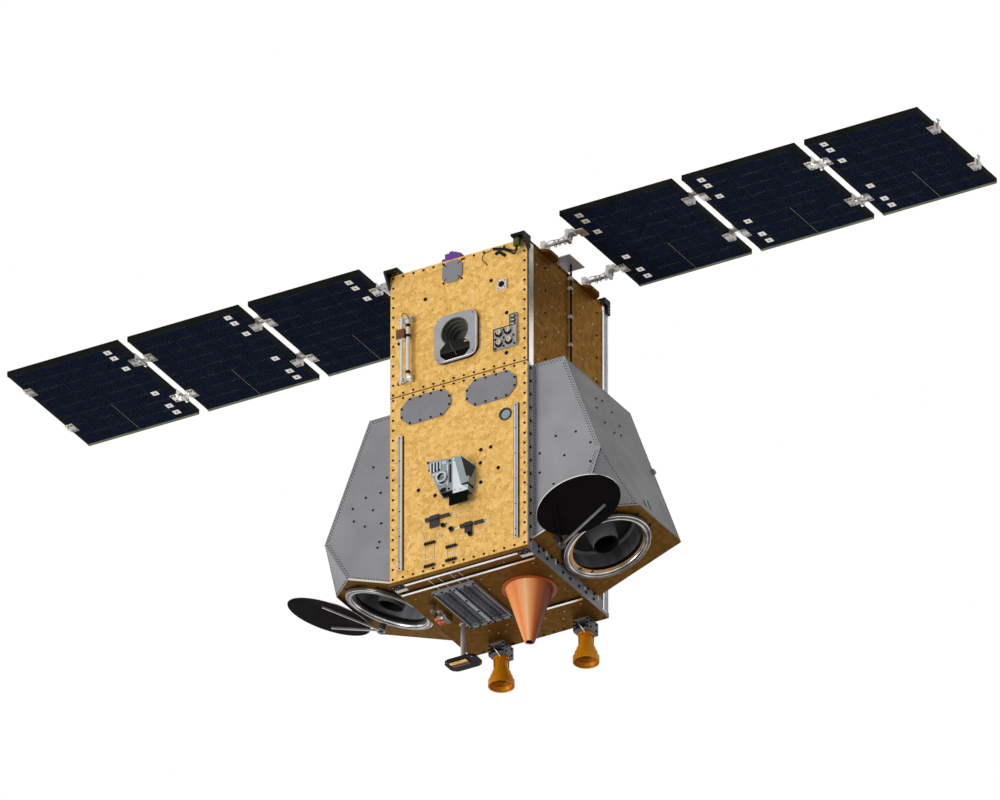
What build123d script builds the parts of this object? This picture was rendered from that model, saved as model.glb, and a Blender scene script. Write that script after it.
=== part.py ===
from build123d import *
from collections import namedtuple
import math
import os

os.makedirs("parts", exist_ok=True)

# Earth-observation microsatellite with two slanted telescopes and two three-panel solar wings.
# Frame: origin at the centre of the separation ring's mating face, on top of the body.
# +Z up, away from the telescopes; the front face with the star tracker looks towards -Y.
# A drop is measured down from the top of the body, a rise up from the top of the floor panel,
# and an edge distance inwards from the body's side. The face equipment keeps to its nearest edge.

# Body
body_width = 600
body_depth = 619
body_height = 1342
floor_thickness = 16
skin = 12
post_size = 35
side_recess = 2
rail_height = 40
seam_drop = 536
seam_gap = 4

# How far a fused piece reaches into its neighbour, and a cut past the face that it opens
lap = 1
overcut = 1

# Separation ring on top of the body
ring_height = 50
ring_bolt_circle = 381
ring_bolt_count = 24
ring_bolt_radius = 3.3
ring_flange_width = 25
ring_flange_thickness = 8
ring_web = 6

# Solar wings: three panels a side, hinged in a zigzag
wing_gap = 140
wing_rise = 66.6
panel_width = 491
panel_depth = 617
panel_thickness = 20
panel_gap = 43
cell_rows = 8
cell_margin_x = 14
cell_margin_y = 12
cell_row_gap = 5
cell_thickness = 1

# Wing hinges, two on each joint line; each fitting is bent round the panel's edge
hinge_y = 156.5
hinge_offset = 20
knuckle_radius = 6
middle_knuckle = 16
side_knuckle = 9.6
knuckle_gap = 0.5
pin_radius = 3
pin_clearance = 0.1
pin_head = 2
leaf_length = 28
leaf_width = 54
leaf_thickness = 3
leaf_clearance = 3
tip_arm_radius = 4
tip_arm_height = 38
tip_head_length = 16

# Outriggers that carry the wings
root_lug_radius = 8
lug_clearance = 6
lug_width = 6
arm_plate_reach = 50
arm_plate_width = 64
arm_plate_thickness = 5
arm_foot_length = 18
arm_foot_width = 44
arm_foot_height = 53
arm_tube_radius = 7
arm_tube_rise = 40
arm_block_length = 12
arm_block_wall = 2
tab_width = 100
tab_reach = 32
tab_corner = 28

# Telescopes: housings on both sides, canted outwards
plate_tilt = 20.4
plate_thickness = 6
housing_top_drop = 541
housing_depth = 503
housing_wall = 3
chamfer_back = 178
mouth_radius = 147
barrel_wall = 4
barrel_depth = 96
window_margin = 14
window_head = 28
hoop_width = 31
hoop_height = 20
hoop_round = 12
central_mouth_radius = 50
central_back_radius = 60
central_bore_radius = 44
central_bore_depth = 62
mirror_clearance = 10

# Swing lids
lid_radius = 166.4
lid_thickness = 5
lid_edge = 1.5
lid_clearance = 6
lid_pivot_radius = 214
lid_arm_length = 245
lid_arm_spread = 26
lid_arm_size = 7
pivot_radius = 8
hub_radius = 15
post_base_radius = 19
post_column_radius = 13
post_base_height = 5
post_cap_height = 4

# Brackets on the top corners
bracket_width = 60
bracket_thickness = 9
bracket_reach = 40
bracket_drop = 58
bracket_heel = 36
back_bracket_depth = 42
back_bracket_height = 26

# Star tracker in the upper front panel
tracker_x = -6
tracker_drop = 352
tracker_width = 189
tracker_height = 205
tracker_corner = 45
tracker_thickness = 15
tracker_mouth_radius = 60
tracker_mouth_x = -10
tracker_mouth_drop = 329
tracker_depth = 70
tracker_wall = 4
tracker_step = 7
tracker_steps = 4
bay_x = -8
bay_top_drop = 372
bay_low_drop = 446
bay_width = 130
bay_cut = 24
bay_floor = 3
bay_gap = 0.3
tracker_edge = 2
flap_height = 36
flap_proud = 2

# Other equipment of the upper front panel
sensor_edge = 108
sensor_drop = 178
sensor_size = 40
sensor_thickness = 9
bar_edge = 75
bar_clamp_drops = (216, 482)
bar_clamp_width = 58
bar_clamp_height = 22
bar_clamp_thickness = 16
bar_spacing = 28
rod_radius = 6
sleeve_radius = 8
rod_overhang = 8
sleeve_inset = 9
bar_lift = 4
bar_block = (34, 42, 34)
bar_block_drop = 285
connector_edge = 90
connector_drop = 418
connector_width = 96
connector_height = 88
connector_thickness = 12
strip_width = 28
strip_height = 52
strip_proud = 8
plug_edge = 30.5
plug_size = (23, 18, 40)
plug_reach = 25
cap_x = -45
cap_inset = 35
cap_depth = 40

# Lower front panel
port_edge = 95
port_drop = 748
port_radius = 26
port_rim = 7
port_thickness = 6
port_bore = 3
cover_thickness = 5
duct_edge = 47
duct_width = 19
duct_thickness = 9
duct_round = 3.6
duct_top_drop = 715
duct_low_rise = 39
comb_width = 48
comb_height = 8
fitting_proud = 7
harness_wire_radius = 1.2
harness_bend = 6
lead_radius = 3
lead_bend = 10

# Earth sensor, its corners as (x, rise)
earth_base_corners = [(-128, 467), (74, 416), (72, 300), (-68, 302)]
earth_head_corners = [(-122, 462), (-8, 447), (0, 307), (-62, 307)]
earth_base_thickness = 6
earth_head_thickness = 30
earth_nozzle = (-47, 367)
earth_nozzle_radius = 23
earth_nozzle_wall = 7
earth_nozzle_height = 18
earth_ridge_corners = [(8, 441), (38, 437), (76, 403), (72, 320), (68, 316), (38, 314)]
earth_ridge_height = 50
earth_foot_corners = [(-6, 446), (8, 441), (38, 314), (62, 312), (60, 290), (-4, 290)]
earth_foot_height = 37
earth_flank_foot = (74, 400)
earth_board_x = (-22, 57)
earth_board_low = 243
earth_board_top = 292
earth_board_stand = 31
earth_board_thickness = 5

# Deck and side equipment
mast_rod_y = 10
mast_rod_radius = 4.5
mast_rod_rise = 57
mast_rod_stand = 8
rod_clamp_drops = (22, 66, 191, 315, 440)
rod_clamp_size = (14, 16, 12)
ground_plane_size = (92, 116, 3)
ground_plane_y = -1
ground_plane_reach = 42
ground_plane_rise = 40
ground_post_size = (34, 60)
ground_plane_hole = 6

# Floor equipment, under the body
cone_x = 151
cone_y = -34.5
cone_flange_radius = 106
cone_flange_thickness = 4
cone_base_radius = 91
cone_tip_radius = 20.5
cone_height = 231
cone_bore_radius = 14
cone_bore_depth = 40
mast_x = -199
mast_y = 70.5
mast_radius = 10.5
mast_foot = 5
mast_height = 166
patch_width = 136
patch_depth = 92
patch_corner = 30
patch_thickness = 8
patch_tile = (75, 40, 4)
patch_tile_place = (-8, -12)
radiator_low = (-182, -201.5)
radiator_high = (2, 102.5)
radiator_thickness = 12
radiator_frame = 13
radiator_bar = 6.5
radiator_strips = 4
radiator_recess = 4
floor_strip_width = 12
floor_strip_thickness = 7
valve_x = -238
valve_spacing = 26
valve_y = -8
valve_radius = 9
valve_length = 30
valve_block = (24, 44, 20)
drain_place = (-231, -105)
drain_radius = 12
drain_height = 20

# Horn antennas on the floor's back edge; each step has an outer radius and a height
horn_places = [(-163, 296), (208, 296)]
horn_bracket_width = 68
horn_bracket_depth = 74
horn_bracket_height = 52
horn_bracket_wall = 10
horn_collar_radius = 31
horn_collar_height = 12
horn_throat_radius = 26
horn_throat_height = 34
horn_steps = [(31, 16), (37, 17), (44, 19), (51, 23)]
horn_wall = 4
horn_throat_inset = 10

# Reaches are measured out from the body's side and along from the plate's root. The front inset lies
# behind the body's front, the mouth's behind the housing's, and the knee rises from the plate's root.
Telescope = namedtuple("Telescope", [
    "name", "side", "front_inset", "top_reach", "low_reach", "knee_rise", "corner_reach",
    "mouth_along", "mouth_inset", "pivot_bearing", "lid_bearing",
])
telescopes = [
    Telescope("right", 1, 38, 140, 361, 323, 208, 180, 267, -119.5, -39.8),
    Telescope("left", -1, 96, 147, 394, 274, 241, 191, 216, 51.2, -21.8),
]

Cover = namedtuple("Cover", ["x", "drop", "width", "height", "cut"])
cover_plates = [
    Cover(-27, 55, 88, 92, 22),
    Cover(-143, 617, 220, 117, 37),
    Cover(143, 617, 220, 117, 37),
]

# Purple connector caps on the deck: offset from the middle of the row, width and height
Cap = namedtuple("Cap", ["offset", "width", "height"])
connector_caps_row = [
    Cap(-31, 16, 18),
    Cap(0, 50, 40),
    Cap(34, 20, 30),
]

# White floor strips: y, and the x of both ends
FloorStrip = namedtuple("FloorStrip", ["y", "start_x", "end_x"])
floor_strip_rows = [
    FloorStrip(-303, -240, 253),
    FloorStrip(-239, -290, 290),
    FloorStrip(121, 12, 291),
]

# Harness on the lower front panel. Blocks: x, rise, width, height, and how far they stand out
Block = namedtuple("Block", ["x", "rise", "width", "height", "proud"])
harness_blocks = [
    Block(-125, 124, comb_width, comb_height, fitting_proud),
    Block(-126, 26, comb_width, comb_height, fitting_proud),
    Block(-30.5, 84, comb_width, comb_height, fitting_proud),
    Block(-32, 26, comb_width, comb_height, fitting_proud),
    Block(-112, 225, 58, 13, 13),
    Block(-104, 214, 40, 52, 7),
    Block(-57, 224, 42, 11, 12),
    Block(37, 156, 52, 13, 13),
    Block(44, 147, 30, 44, 7),
    Block(92, 154, 40, 11, 12),
    Block(-30, 158, 13, 17, 10),
    Block(53, 114, 13, 17, 10),
    Block(-65, 184, 14, 12, 9),
]
# Wire runs over the panel, each as (x, rise) points
harness_runs = [
    [(-142, 127), (-166, 200), (-158, 224), (-140, 225)],
    [(-37, 225), (-13, 224), (-11, 205), (-37, 196), (-85, 188), (-108, 142), (-109, 127)],
    [(-147, 121), (-147, 29)],
    [(-107, 121), (-107, 29)],
    [(-146, 59), (-108, 56)],
    [(-50, 87), (-77, 137), (-75, 154), (-56, 158), (-36, 157)],
    [(-24, 157), (12, 155)],
    [(111, 154), (134, 149), (138, 132), (115, 118), (58, 114)],
    [(48, 114), (10, 119), (-14, 110), (-17, 87)],
    [(-49, 81), (-49, 29)],
    [(-17, 81), (-17, 29)],
    [(-48, 61), (-18, 57)],
]
# Test lead from its plug: distance in from the side, height above the top, stand-off from the face
lead_route = [
    (30.5, -39, 25), (30.5, -58, 24), (52, -62, 10), (76, -42, 4), (100, -26, 3), (146, -13, 3),
]
# Thin pigtails of the test lead, as (edge distance, drop)
pigtail_runs = [
    [(147, 13), (180, 14), (196, 26), (196, 46), (176, 68)],
    [(116, 26), (112, 34), (99, 42)],
]

# Values worked out from the sizes above
body_side = body_width / 2
body_top = -ring_height
body_front = -body_depth / 2
body_back = body_depth / 2
floor_top = body_top - body_height
body_bottom = floor_top - floor_thickness
wing_z = body_top + wing_rise
wing_reach = body_side + wing_gap
root_axis_x = wing_reach - panel_gap / 2
hinge_pitch = panel_width + panel_gap
plate_root_z = floor_top + rail_height
housing_top_z = body_top - housing_top_drop
post_reach = body_depth / 2 - skin - post_size

UP = (Align.CENTER, Align.CENTER, Align.MIN)
DOWN = (Align.CENTER, Align.CENTER, Align.MAX)


def box_between(low, high):
    """A box from its lowest to its highest corner."""
    size = [high[i] - low[i] for i in range(3)]
    return Pos(*low) * Box(*size, align=(Align.MIN, Align.MIN, Align.MIN))


def side_box(side, near, far, low_y, high_y, low_z, high_z):
    """A box on one side of the body, from a near to a far distance from its middle."""
    low_x, high_x = sorted((side * near, side * far))
    return box_between((low_x, low_y, low_z), (high_x, high_y, high_z))


def rod_between(start, end, radius):
    """A round bar from one point to another."""
    start, end = Vector(*start), Vector(*end)
    along = Plane(origin=start, z_dir=end - start)
    return along.location * Cylinder(radius, (end - start).length, align=UP)


def wire(points, radius, bend):
    """A wire through points, with round bends."""
    if len(points) == 2:
        path = Line(*points)
    else:
        path = FilletPolyline(*points, radius=bend)
    start = Plane(origin=path @ 0, z_dir=path % 0)
    return sweep(start * Circle(radius), path=path)


def front_plane(x, z):
    """The plane on the front face at x and a height, facing forwards."""
    return Plane(origin=(x, body_front, z), x_dir=(1, 0, 0), z_dir=(0, -1, 0))


def front_box(x, z, width, height, thickness):
    """A block seated on the front face, centred on x and a height."""
    return box_between(
        (x - width / 2, body_front - thickness, z - height / 2),
        (x + width / 2, body_front, z + height / 2),
    )


def cut_corner_outline(width, height, cut):
    """A rectangle with its four corners cut off."""
    return chamfer(Rectangle(width, height).vertices(), cut)


def front_slab(corners, thickness):
    """An outline given as (x, height) points, raised from the front face."""
    return extrude(front_plane(0, 0) * Polygon(*corners, align=None), thickness, dir=(0, -1, 0))


# ---------------------------------------------------------------- body panels

def front_panel(top_drop, low_drop):
    return box_between(
        (-body_side, body_front, body_top - low_drop),
        (body_side, body_front + skin, body_top - top_drop),
    )


def back_panel():
    return box_between(
        (-body_side, body_back - skin, floor_top),
        (body_side, body_back, body_top),
    )


def deck():
    """Top panel, with a rounded tab over each side under every outrigger."""
    panel = box_between(
        (-body_side, body_front + skin, body_top - skin),
        (body_side, body_back - skin, body_top),
    )
    for side in (-1, 1):
        for y in (-hinge_y, hinge_y):
            outline = RectangleRounded(2 * tab_reach, tab_width, tab_corner)
            panel += extrude(Pos(side * body_side, y, body_top) * outline, skin, dir=(0, 0, -1))
    return panel


def floor_panel():
    return box_between(
        (-body_side, body_front, body_bottom),
        (body_side, body_back, floor_top),
    )


def corner_posts():
    """Four square posts that tie the deck to the floor."""
    posts = []
    for side in (-1, 1):
        for y in (body_front + skin, body_back - skin - post_size):
            posts.append(side_box(
                side, body_side - post_size, body_side, y, y + post_size, floor_top, body_top - skin,
            ))
    return posts


def side_panel(row):
    """A side skin between the posts, with a window where the telescope's barrel passes in."""
    outer = body_side - side_recess
    sheet = side_box(
        row.side, outer - skin, outer, -post_reach, post_reach, plate_root_z, body_top - skin,
    )
    half = mouth_radius + window_margin
    window = side_box(
        row.side, outer - 2 * skin, outer + skin, mouth_y(row) - half, mouth_y(row) + half,
        plate_root_z - overcut, plate_root_z + barrel_depth + window_head,
    )
    return sheet - window


def side_rail(side):
    """The stiff rail along a side's lower edge, below the telescope's plate."""
    return side_box(side, body_side - skin, body_side, -post_reach, post_reach, floor_top, plate_root_z)


# ---------------------------------------------------------------- separation ring

def separation_ring():
    bolt_radius = ring_bolt_circle / 2
    outer = bolt_radius + ring_flange_width / 2
    inner = bolt_radius - ring_flange_width / 2
    ring = Cylinder(outer, ring_flange_thickness, align=DOWN)
    ring += Cylinder(inner + ring_web, ring_height, align=DOWN)
    ring += Pos(0, 0, body_top) * Cylinder(outer, ring_flange_thickness, align=UP)
    ring -= Cylinder(inner, ring_height * 3)
    holes = PolarLocations(bolt_radius, ring_bolt_count) * Cylinder(
        ring_bolt_radius, 2 * (ring_flange_thickness + overcut)
    )
    return ring - holes


# ---------------------------------------------------------------- telescopes

def housing_front(row):
    return body_front + row.front_inset


def mouth_y(row):
    return housing_front(row) + row.mouth_inset


def plate_plane(row, along, y, out):
    """The plane on a telescope's plate: x along the plate, z outwards through its mouth."""
    tilt = math.radians(plate_tilt)
    slope = Vector(row.side * math.cos(tilt), 0, math.sin(tilt))
    normal = Vector(row.side * math.sin(tilt), 0, -math.cos(tilt))
    origin = Vector(row.side * body_side, y, plate_root_z) + slope * along + normal * out
    return Plane(origin=origin, x_dir=slope, z_dir=normal)


def plate_z(reach):
    """Height of the plate's outer face at a distance out from the body's side."""
    return plate_root_z + reach * math.tan(math.radians(plate_tilt))


def housing_block(row, wall):
    """The housing's outline as a solid, drawn in by a wall on its front, top, outside and back."""
    lean = math.atan2(row.low_reach - row.top_reach, housing_top_z - plate_z(row.low_reach))
    top_z = housing_top_z - wall
    top_x = body_side + row.top_reach + wall * math.tan(lean) - wall / math.cos(lean)
    end_x = body_side + row.low_reach - wall / math.cos(lean)
    end_z = plate_z(row.low_reach)
    corners = [(body_side, top_z), (top_x, top_z), (end_x, end_z)]
    spill = 20 * wall
    if wall > 0:
        corners.append((end_x + spill * math.sin(lean), end_z - spill * math.cos(lean)))
    corners.append((body_side, plate_root_z - spill))
    front = housing_front(row)
    face = Plane(origin=(0, front + wall, 0), x_dir=(1, 0, 0), z_dir=(0, -1, 0))
    block = extrude(face * Polygon(*corners, align=None), housing_depth - 2 * wall, dir=(0, 1, 0))
    knee_z = plate_root_z + row.knee_rise
    knee = Vector(body_side + row.top_reach + (housing_top_z - knee_z) * math.tan(lean), front, knee_z)
    low = Vector(body_side + row.corner_reach, front, plate_z(row.corner_reach))
    end = Vector(body_side + row.low_reach, front + chamfer_back, end_z)
    normal = (low - knee).cross(end - knee).normalized()
    if normal.X < 0:
        normal = -normal
    cutter = Plane(origin=knee - normal * wall, z_dir=normal)
    size = 2 * housing_depth
    block -= cutter.location * Box(size, size, size, align=UP)
    return block if row.side > 0 else mirror(block, about=Plane.YZ)


def plate_slab(row):
    """A thick slab whose face lies on the plate's inner face."""
    base = plate_plane(row, 0, 0, -plate_thickness)
    size = 4 * housing_depth
    return base.location * Box(size, size, housing_depth, align=UP)


def housing(row):
    """Riveted box around the telescope, open to the body and to its plate."""
    return housing_block(row, 0) - plate_slab(row) - housing_block(row, housing_wall)


def barrel_axis(row):
    return plate_plane(row, row.mouth_along, mouth_y(row), 0)


def aperture_plate(row):
    plate = housing_block(row, 0) & plate_slab(row)
    hole = barrel_axis(row).location * Cylinder(mouth_radius + barrel_wall, 8 * plate_thickness)
    return plate - hole


def aperture_hoop(row):
    """Polished rounded hoop around the mouth."""
    hoop = Cylinder(mouth_radius + hoop_width, hoop_height, align=UP)
    hoop -= Cylinder(mouth_radius, hoop_height, align=UP)
    top = hoop.edges().filter_by(GeomType.CIRCLE).group_by(Axis.Z)[-1]
    return barrel_axis(row).location * fillet(top, hoop_round)


def barrel(row):
    """Telescope barrel, closed by the mirror's cell at its inner end."""
    tube = Cylinder(mouth_radius + barrel_wall, barrel_depth, align=DOWN)
    tube -= Cylinder(mouth_radius, barrel_depth - barrel_wall, align=DOWN)
    return barrel_axis(row).location * tube


def central_baffle(row):
    """Conical baffle that stands on the mirror's cell, with a blind bore."""
    depth = barrel_depth - barrel_wall
    core = Pos(0, 0, -depth / 2) * Cone(central_back_radius, central_mouth_radius, depth)
    core -= Cylinder(central_bore_radius, central_bore_depth, align=DOWN)
    return barrel_axis(row).location * core


def from_point(start, bearing, distance):
    """A point on the plate at a bearing from another, as (along, y)."""
    angle = math.radians(bearing)
    return start[0] + distance * math.cos(angle), start[1] + distance * math.sin(angle)


def pivot_point(row):
    return from_point((row.mouth_along, mouth_y(row)), row.pivot_bearing, lid_pivot_radius)


def lid_post(row):
    """Fixed post that the lid swings on."""
    along, y = pivot_point(row)
    lid_out = hoop_height + lid_clearance + lid_thickness
    height = lid_out + lid_arm_size + post_cap_height
    post = Cylinder(post_base_radius, post_base_height, align=UP)
    post += Cylinder(post_column_radius, lid_out - post_cap_height, align=UP)
    post += Cylinder(pivot_radius, height, align=UP)
    post += Pos(0, 0, height) * Cylinder(post_column_radius, post_cap_height, align=UP)
    return plate_plane(row, along, y, 0).location * post


def lid_disc(row):
    along, y = from_point(pivot_point(row), row.lid_bearing, lid_pivot_radius)
    disc = Cylinder(lid_radius, lid_thickness, align=UP)
    disc = chamfer(disc.edges().group_by(Axis.Z)[-1], lid_edge)
    return plate_plane(row, along, y, hoop_height + lid_clearance).location * disc


def lid_arms(row):
    """Hub and two bars in a V that carry the lid from its pivot."""
    along, y = pivot_point(row)
    out = hoop_height + lid_clearance + lid_thickness
    hub = Cylinder(hub_radius, lid_arm_size, align=UP)
    for spread in (-lid_arm_spread, lid_arm_spread):
        bar = Box(
            lid_arm_length, lid_arm_size, lid_arm_size, align=(Align.MIN, Align.CENTER, Align.MIN)
        )
        hub += Rot(0, 0, -row.side * (row.lid_bearing + spread)) * bar
    hub -= Cylinder(pivot_radius + pin_clearance, 4 * lid_arm_size)
    return plate_plane(row, along, y, out).location * hub


# ---------------------------------------------------------------- top corner brackets

def front_bracket(side):
    """Shelf over the front face with a cheek down the body's side."""
    outer = body_side + bracket_thickness
    shelf = side_box(
        side, outer - bracket_width, outer, body_front - bracket_reach, body_front + skin,
        body_top, body_top + bracket_thickness,
    )
    profile = Plane(origin=(side * body_side, 0, 0), x_dir=(0, 1, 0), z_dir=(1, 0, 0))
    outline = Polygon(
        (body_front - bracket_reach, body_top),
        (body_front + skin, body_top),
        (body_front + skin, body_top - bracket_heel),
        (body_front, body_top - bracket_drop),
        align=None,
    )
    return shelf + extrude(profile * outline, bracket_thickness, dir=(side, 0, 0))


def back_bracket(side):
    """Upright block on a back top corner with a cheek down the body's side."""
    outer = body_side + bracket_thickness
    block = side_box(
        side, outer - bracket_width, outer, body_back - back_bracket_depth, body_back,
        body_top, body_top + back_bracket_height,
    )
    cheek = side_box(
        side, body_side, outer, body_back - back_bracket_depth / 2, body_back,
        body_top - bracket_heel, body_top + bracket_thickness,
    )
    return block + cheek


# ---------------------------------------------------------------- star tracker

def tracker_place():
    return front_plane(tracker_mouth_x, body_top - tracker_mouth_drop)


def tracker_bore(radius):
    """Clear round hole on the star tracker's axis."""
    return tracker_place().location * Cylinder(radius, 4 * tracker_thickness)


def tracker_bay(gap, thickness):
    """The cut-cornered bay below the star tracker's mouth, smaller all round by a gap."""
    height = bay_low_drop - bay_top_drop - 2 * gap
    place = front_plane(bay_x, body_top - (bay_low_drop + bay_top_drop) / 2)
    outline = cut_corner_outline(bay_width - 2 * gap, height, bay_cut)
    return extrude(place * outline, thickness, dir=(0, -1, 0))


def star_tracker_plate():
    outline = front_plane(tracker_x, body_top - tracker_drop) * RectangleRounded(
        tracker_width, tracker_height, tracker_corner
    )
    plate = extrude(outline, tracker_thickness, dir=(0, -1, 0))
    plate = chamfer(plate.edges().group_by(Axis.Y)[0], tracker_edge)
    return plate - tracker_bore(tracker_mouth_radius) - tracker_bay(0, tracker_thickness)


def star_tracker_baffle():
    """Stepped dark baffle sunk through the front panel; a flap covers the upper half of its bay."""
    outer = tracker_mouth_radius - bay_gap
    cup = Pos(0, 0, tracker_thickness) * Cylinder(outer, tracker_depth, align=DOWN)
    for number in range(tracker_steps):
        radius = outer - tracker_wall - number * tracker_step
        depth = (tracker_depth - tracker_wall) * (number + 1) / tracker_steps
        cup -= Pos(0, 0, tracker_thickness) * Cylinder(radius, depth, align=DOWN)
    cup = tracker_place().location * cup
    cup -= tracker_bay(bay_gap, 2 * tracker_thickness)
    floor = tracker_bay(bay_gap, bay_floor) - tracker_bore(outer - tracker_wall)
    reach = tracker_thickness + flap_proud
    flap = tracker_bay(bay_gap, reach) & front_box(
        bay_x, body_top - bay_top_drop - flap_height / 2, bay_width, flap_height, reach
    )
    return cup + floor + flap


# ---------------------------------------------------------------- front equipment

def covers():
    """Blank plates with cut corners over openings in the front panels."""
    plates = []
    for row in cover_plates:
        outline = front_plane(row.x, body_top - row.drop) * cut_corner_outline(
            row.width, row.height, row.cut
        )
        plates.append(extrude(outline, cover_thickness, dir=(0, -1, 0)))
    return plates


def cable_ducts():
    """Straight covers over the harness down both edges of the lower front panel."""
    top = body_top - duct_top_drop
    low = floor_top + duct_low_rise
    ducts = []
    for side in (-1, 1):
        x = side * (body_side - duct_edge)
        duct = front_box(x, (top + low) / 2, duct_width, top - low, duct_thickness)
        face = duct.edges().filter_by(Axis.Z).group_by(Axis.Y)[0]
        ducts.append(fillet(face, duct_round))
    return ducts


def sun_sensors():
    """Square sun sensor above, and a round port with a sunk window below."""
    sensor = front_box(
        body_side - sensor_edge, body_top - sensor_drop, sensor_size, sensor_size, sensor_thickness
    )
    port = Cylinder(port_radius, port_thickness, align=UP)
    port -= Pos(0, 0, port_bore) * Cylinder(port_radius - port_rim, port_thickness, align=UP)
    return [sensor, front_plane(body_side - port_edge, body_top - port_drop).location * port]


def magnet_bars():
    """Magnetic rod and its sleeve, side by side in clamps, with a block over the rod."""
    middle = bar_edge - body_side
    top_z, low_z = [body_top - drop for drop in bar_clamp_drops]
    piece = None
    for z in (top_z, low_z):
        clamp = front_box(middle, z, bar_clamp_width, bar_clamp_height, bar_clamp_thickness)
        piece = clamp if piece is None else piece + clamp
    y = body_front - bar_clamp_thickness - bar_lift
    rod_x = middle - bar_spacing / 2
    sleeve_x = middle + bar_spacing / 2
    piece += rod_between((rod_x, y, top_z + rod_overhang), (rod_x, y, low_z - rod_overhang), rod_radius)
    piece += rod_between(
        (sleeve_x, y, top_z - sleeve_inset), (sleeve_x, y, low_z + sleeve_inset), sleeve_radius
    )
    piece += front_box(rod_x, body_top - bar_block_drop, *bar_block)
    return piece


def connector_panel():
    """Connector bracket with an upright strip on its top edge, beside the star tracker."""
    x = body_side - connector_edge
    z = body_top - connector_drop
    plate = front_box(x, z, connector_width, connector_height, connector_thickness)
    strip = front_box(
        x + (connector_width - strip_width) / 2, z + (connector_height + strip_height) / 2 - lap,
        strip_width, strip_height, strip_proud,
    )
    return plate + strip


def test_plug():
    """Plug that hangs under the right front bracket's shelf."""
    width, depth, height = plug_size
    x = body_side - plug_edge
    y = body_front - plug_reach
    return box_between(
        (x - width / 2, y - depth / 2, body_top - height),
        (x + width / 2, y + depth / 2, body_top),
    )


def test_lead():
    """Lead from the test plug along the panel's top edge."""
    points = [(body_side - edge, body_front - out, body_top + rise) for edge, rise, out in lead_route]
    return wire(points, lead_radius, lead_bend)


def connector_caps():
    """Row of protective caps on the deck behind the front edge."""
    y = body_front + cap_inset
    row = None
    for cap in connector_caps_row:
        x = cap_x + cap.offset
        block = box_between(
            (x - cap.width / 2, y - cap_depth / 2, body_top),
            (x + cap.width / 2, y + cap_depth / 2, body_top + cap.height),
        )
        row = block if row is None else row + block
    return row


def earth_sensor():
    """Slanted sensor head on a base: a short barrel, a leaning hood and a board hung below."""
    base = front_slab([(x, floor_top + rise) for x, rise in earth_base_corners], earth_base_thickness)
    head = front_slab(
        [(x, floor_top + rise) for x, rise in earth_head_corners],
        earth_base_thickness + earth_head_thickness,
    )
    x, rise = earth_nozzle
    seat = front_plane(x, floor_top + rise).location * Pos(0, 0, earth_base_thickness + earth_head_thickness)
    head += seat * Cylinder(earth_nozzle_radius, earth_nozzle_height, align=UP)
    head -= (seat * Pos(0, 0, earth_base_thickness)) * Cylinder(
        earth_nozzle_radius - earth_nozzle_wall, earth_nozzle_height, align=UP
    )
    ridge = front_slab([(x, floor_top + rise) for x, rise in earth_ridge_corners], earth_ridge_height)
    (peak_x, peak_rise), (low_x, low_rise) = earth_ridge_corners[1], earth_ridge_corners[4]
    foot_x, foot_rise = earth_flank_foot
    crest = body_front - earth_ridge_height
    peak = Vector(peak_x, crest, floor_top + peak_rise)
    low = Vector(low_x, crest, floor_top + low_rise)
    foot = Vector(foot_x, body_front - earth_base_thickness, floor_top + foot_rise)
    outwards = (low - peak).cross(foot - peak).normalized()
    if outwards.X < 0:
        outwards = -outwards
    size = 4 * earth_ridge_height
    ridge -= Plane(origin=peak, z_dir=outwards).location * Box(size, size, size, align=UP)
    seat = front_slab([(x, floor_top + rise) for x, rise in earth_foot_corners], earth_foot_height)
    board = box_between(
        (earth_board_x[0], body_front - earth_board_stand - earth_board_thickness,
         floor_top + earth_board_low),
        (earth_board_x[1], body_front - earth_board_stand, floor_top + earth_board_top),
    )
    return base + head + ridge + seat + board


def harness_wires():
    """Wires laid over the lower front panel, and the test lead's pigtails."""
    y = body_front - harness_wire_radius
    wires = []
    for run in harness_runs:
        wires.append(wire([(x, y, floor_top + rise) for x, rise in run], harness_wire_radius, harness_bend))
    for run in pigtail_runs:
        points = [(body_side - edge, y, body_top - drop) for edge, drop in run]
        wires.append(wire(points, harness_wire_radius, harness_bend))
    return wires[0].fuse(*wires[1:])


def harness_fittings(harness):
    """Combs, clamps and connectors on the lower front panel, bored for the harness."""
    return [
        front_box(row.x, floor_top + row.rise, row.width, row.height, row.proud) - harness
        for row in harness_blocks
    ]


# ---------------------------------------------------------------- deck and side equipment

def whip_antenna():
    """Upright rod in clamps on the right side, standing above the deck."""
    x = body_side + mast_rod_stand
    top = (x, mast_rod_y, body_top + mast_rod_rise)
    rod = rod_between((x, mast_rod_y, housing_top_z), top, mast_rod_radius)
    depth, width, height = rod_clamp_size
    inner = body_side - side_recess
    for drop in rod_clamp_drops:
        z = body_top - drop
        rod += box_between(
            (inner, mast_rod_y - width / 2, z - height / 2),
            (inner + depth, mast_rod_y + width / 2, z + height / 2),
        )
    return rod


def deck_antenna():
    """Flat ground plane on a block at the deck's right edge, with a hole for the whip antenna."""
    reach, width, thickness = ground_plane_size
    outer = body_side + ground_plane_reach
    z = body_top + ground_plane_rise
    plate = box_between(
        (outer - reach, ground_plane_y - width / 2, z),
        (outer, ground_plane_y + width / 2, z + thickness),
    )
    plate -= Pos(body_side + mast_rod_stand, mast_rod_y, z) * Cylinder(ground_plane_hole, 4 * thickness)
    length, depth = ground_post_size
    post = box_between(
        (outer - reach, ground_plane_y - depth / 2, body_top),
        (outer - reach + length, ground_plane_y + depth / 2, z),
    )
    return plate + post


# ---------------------------------------------------------------- floor equipment

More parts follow.
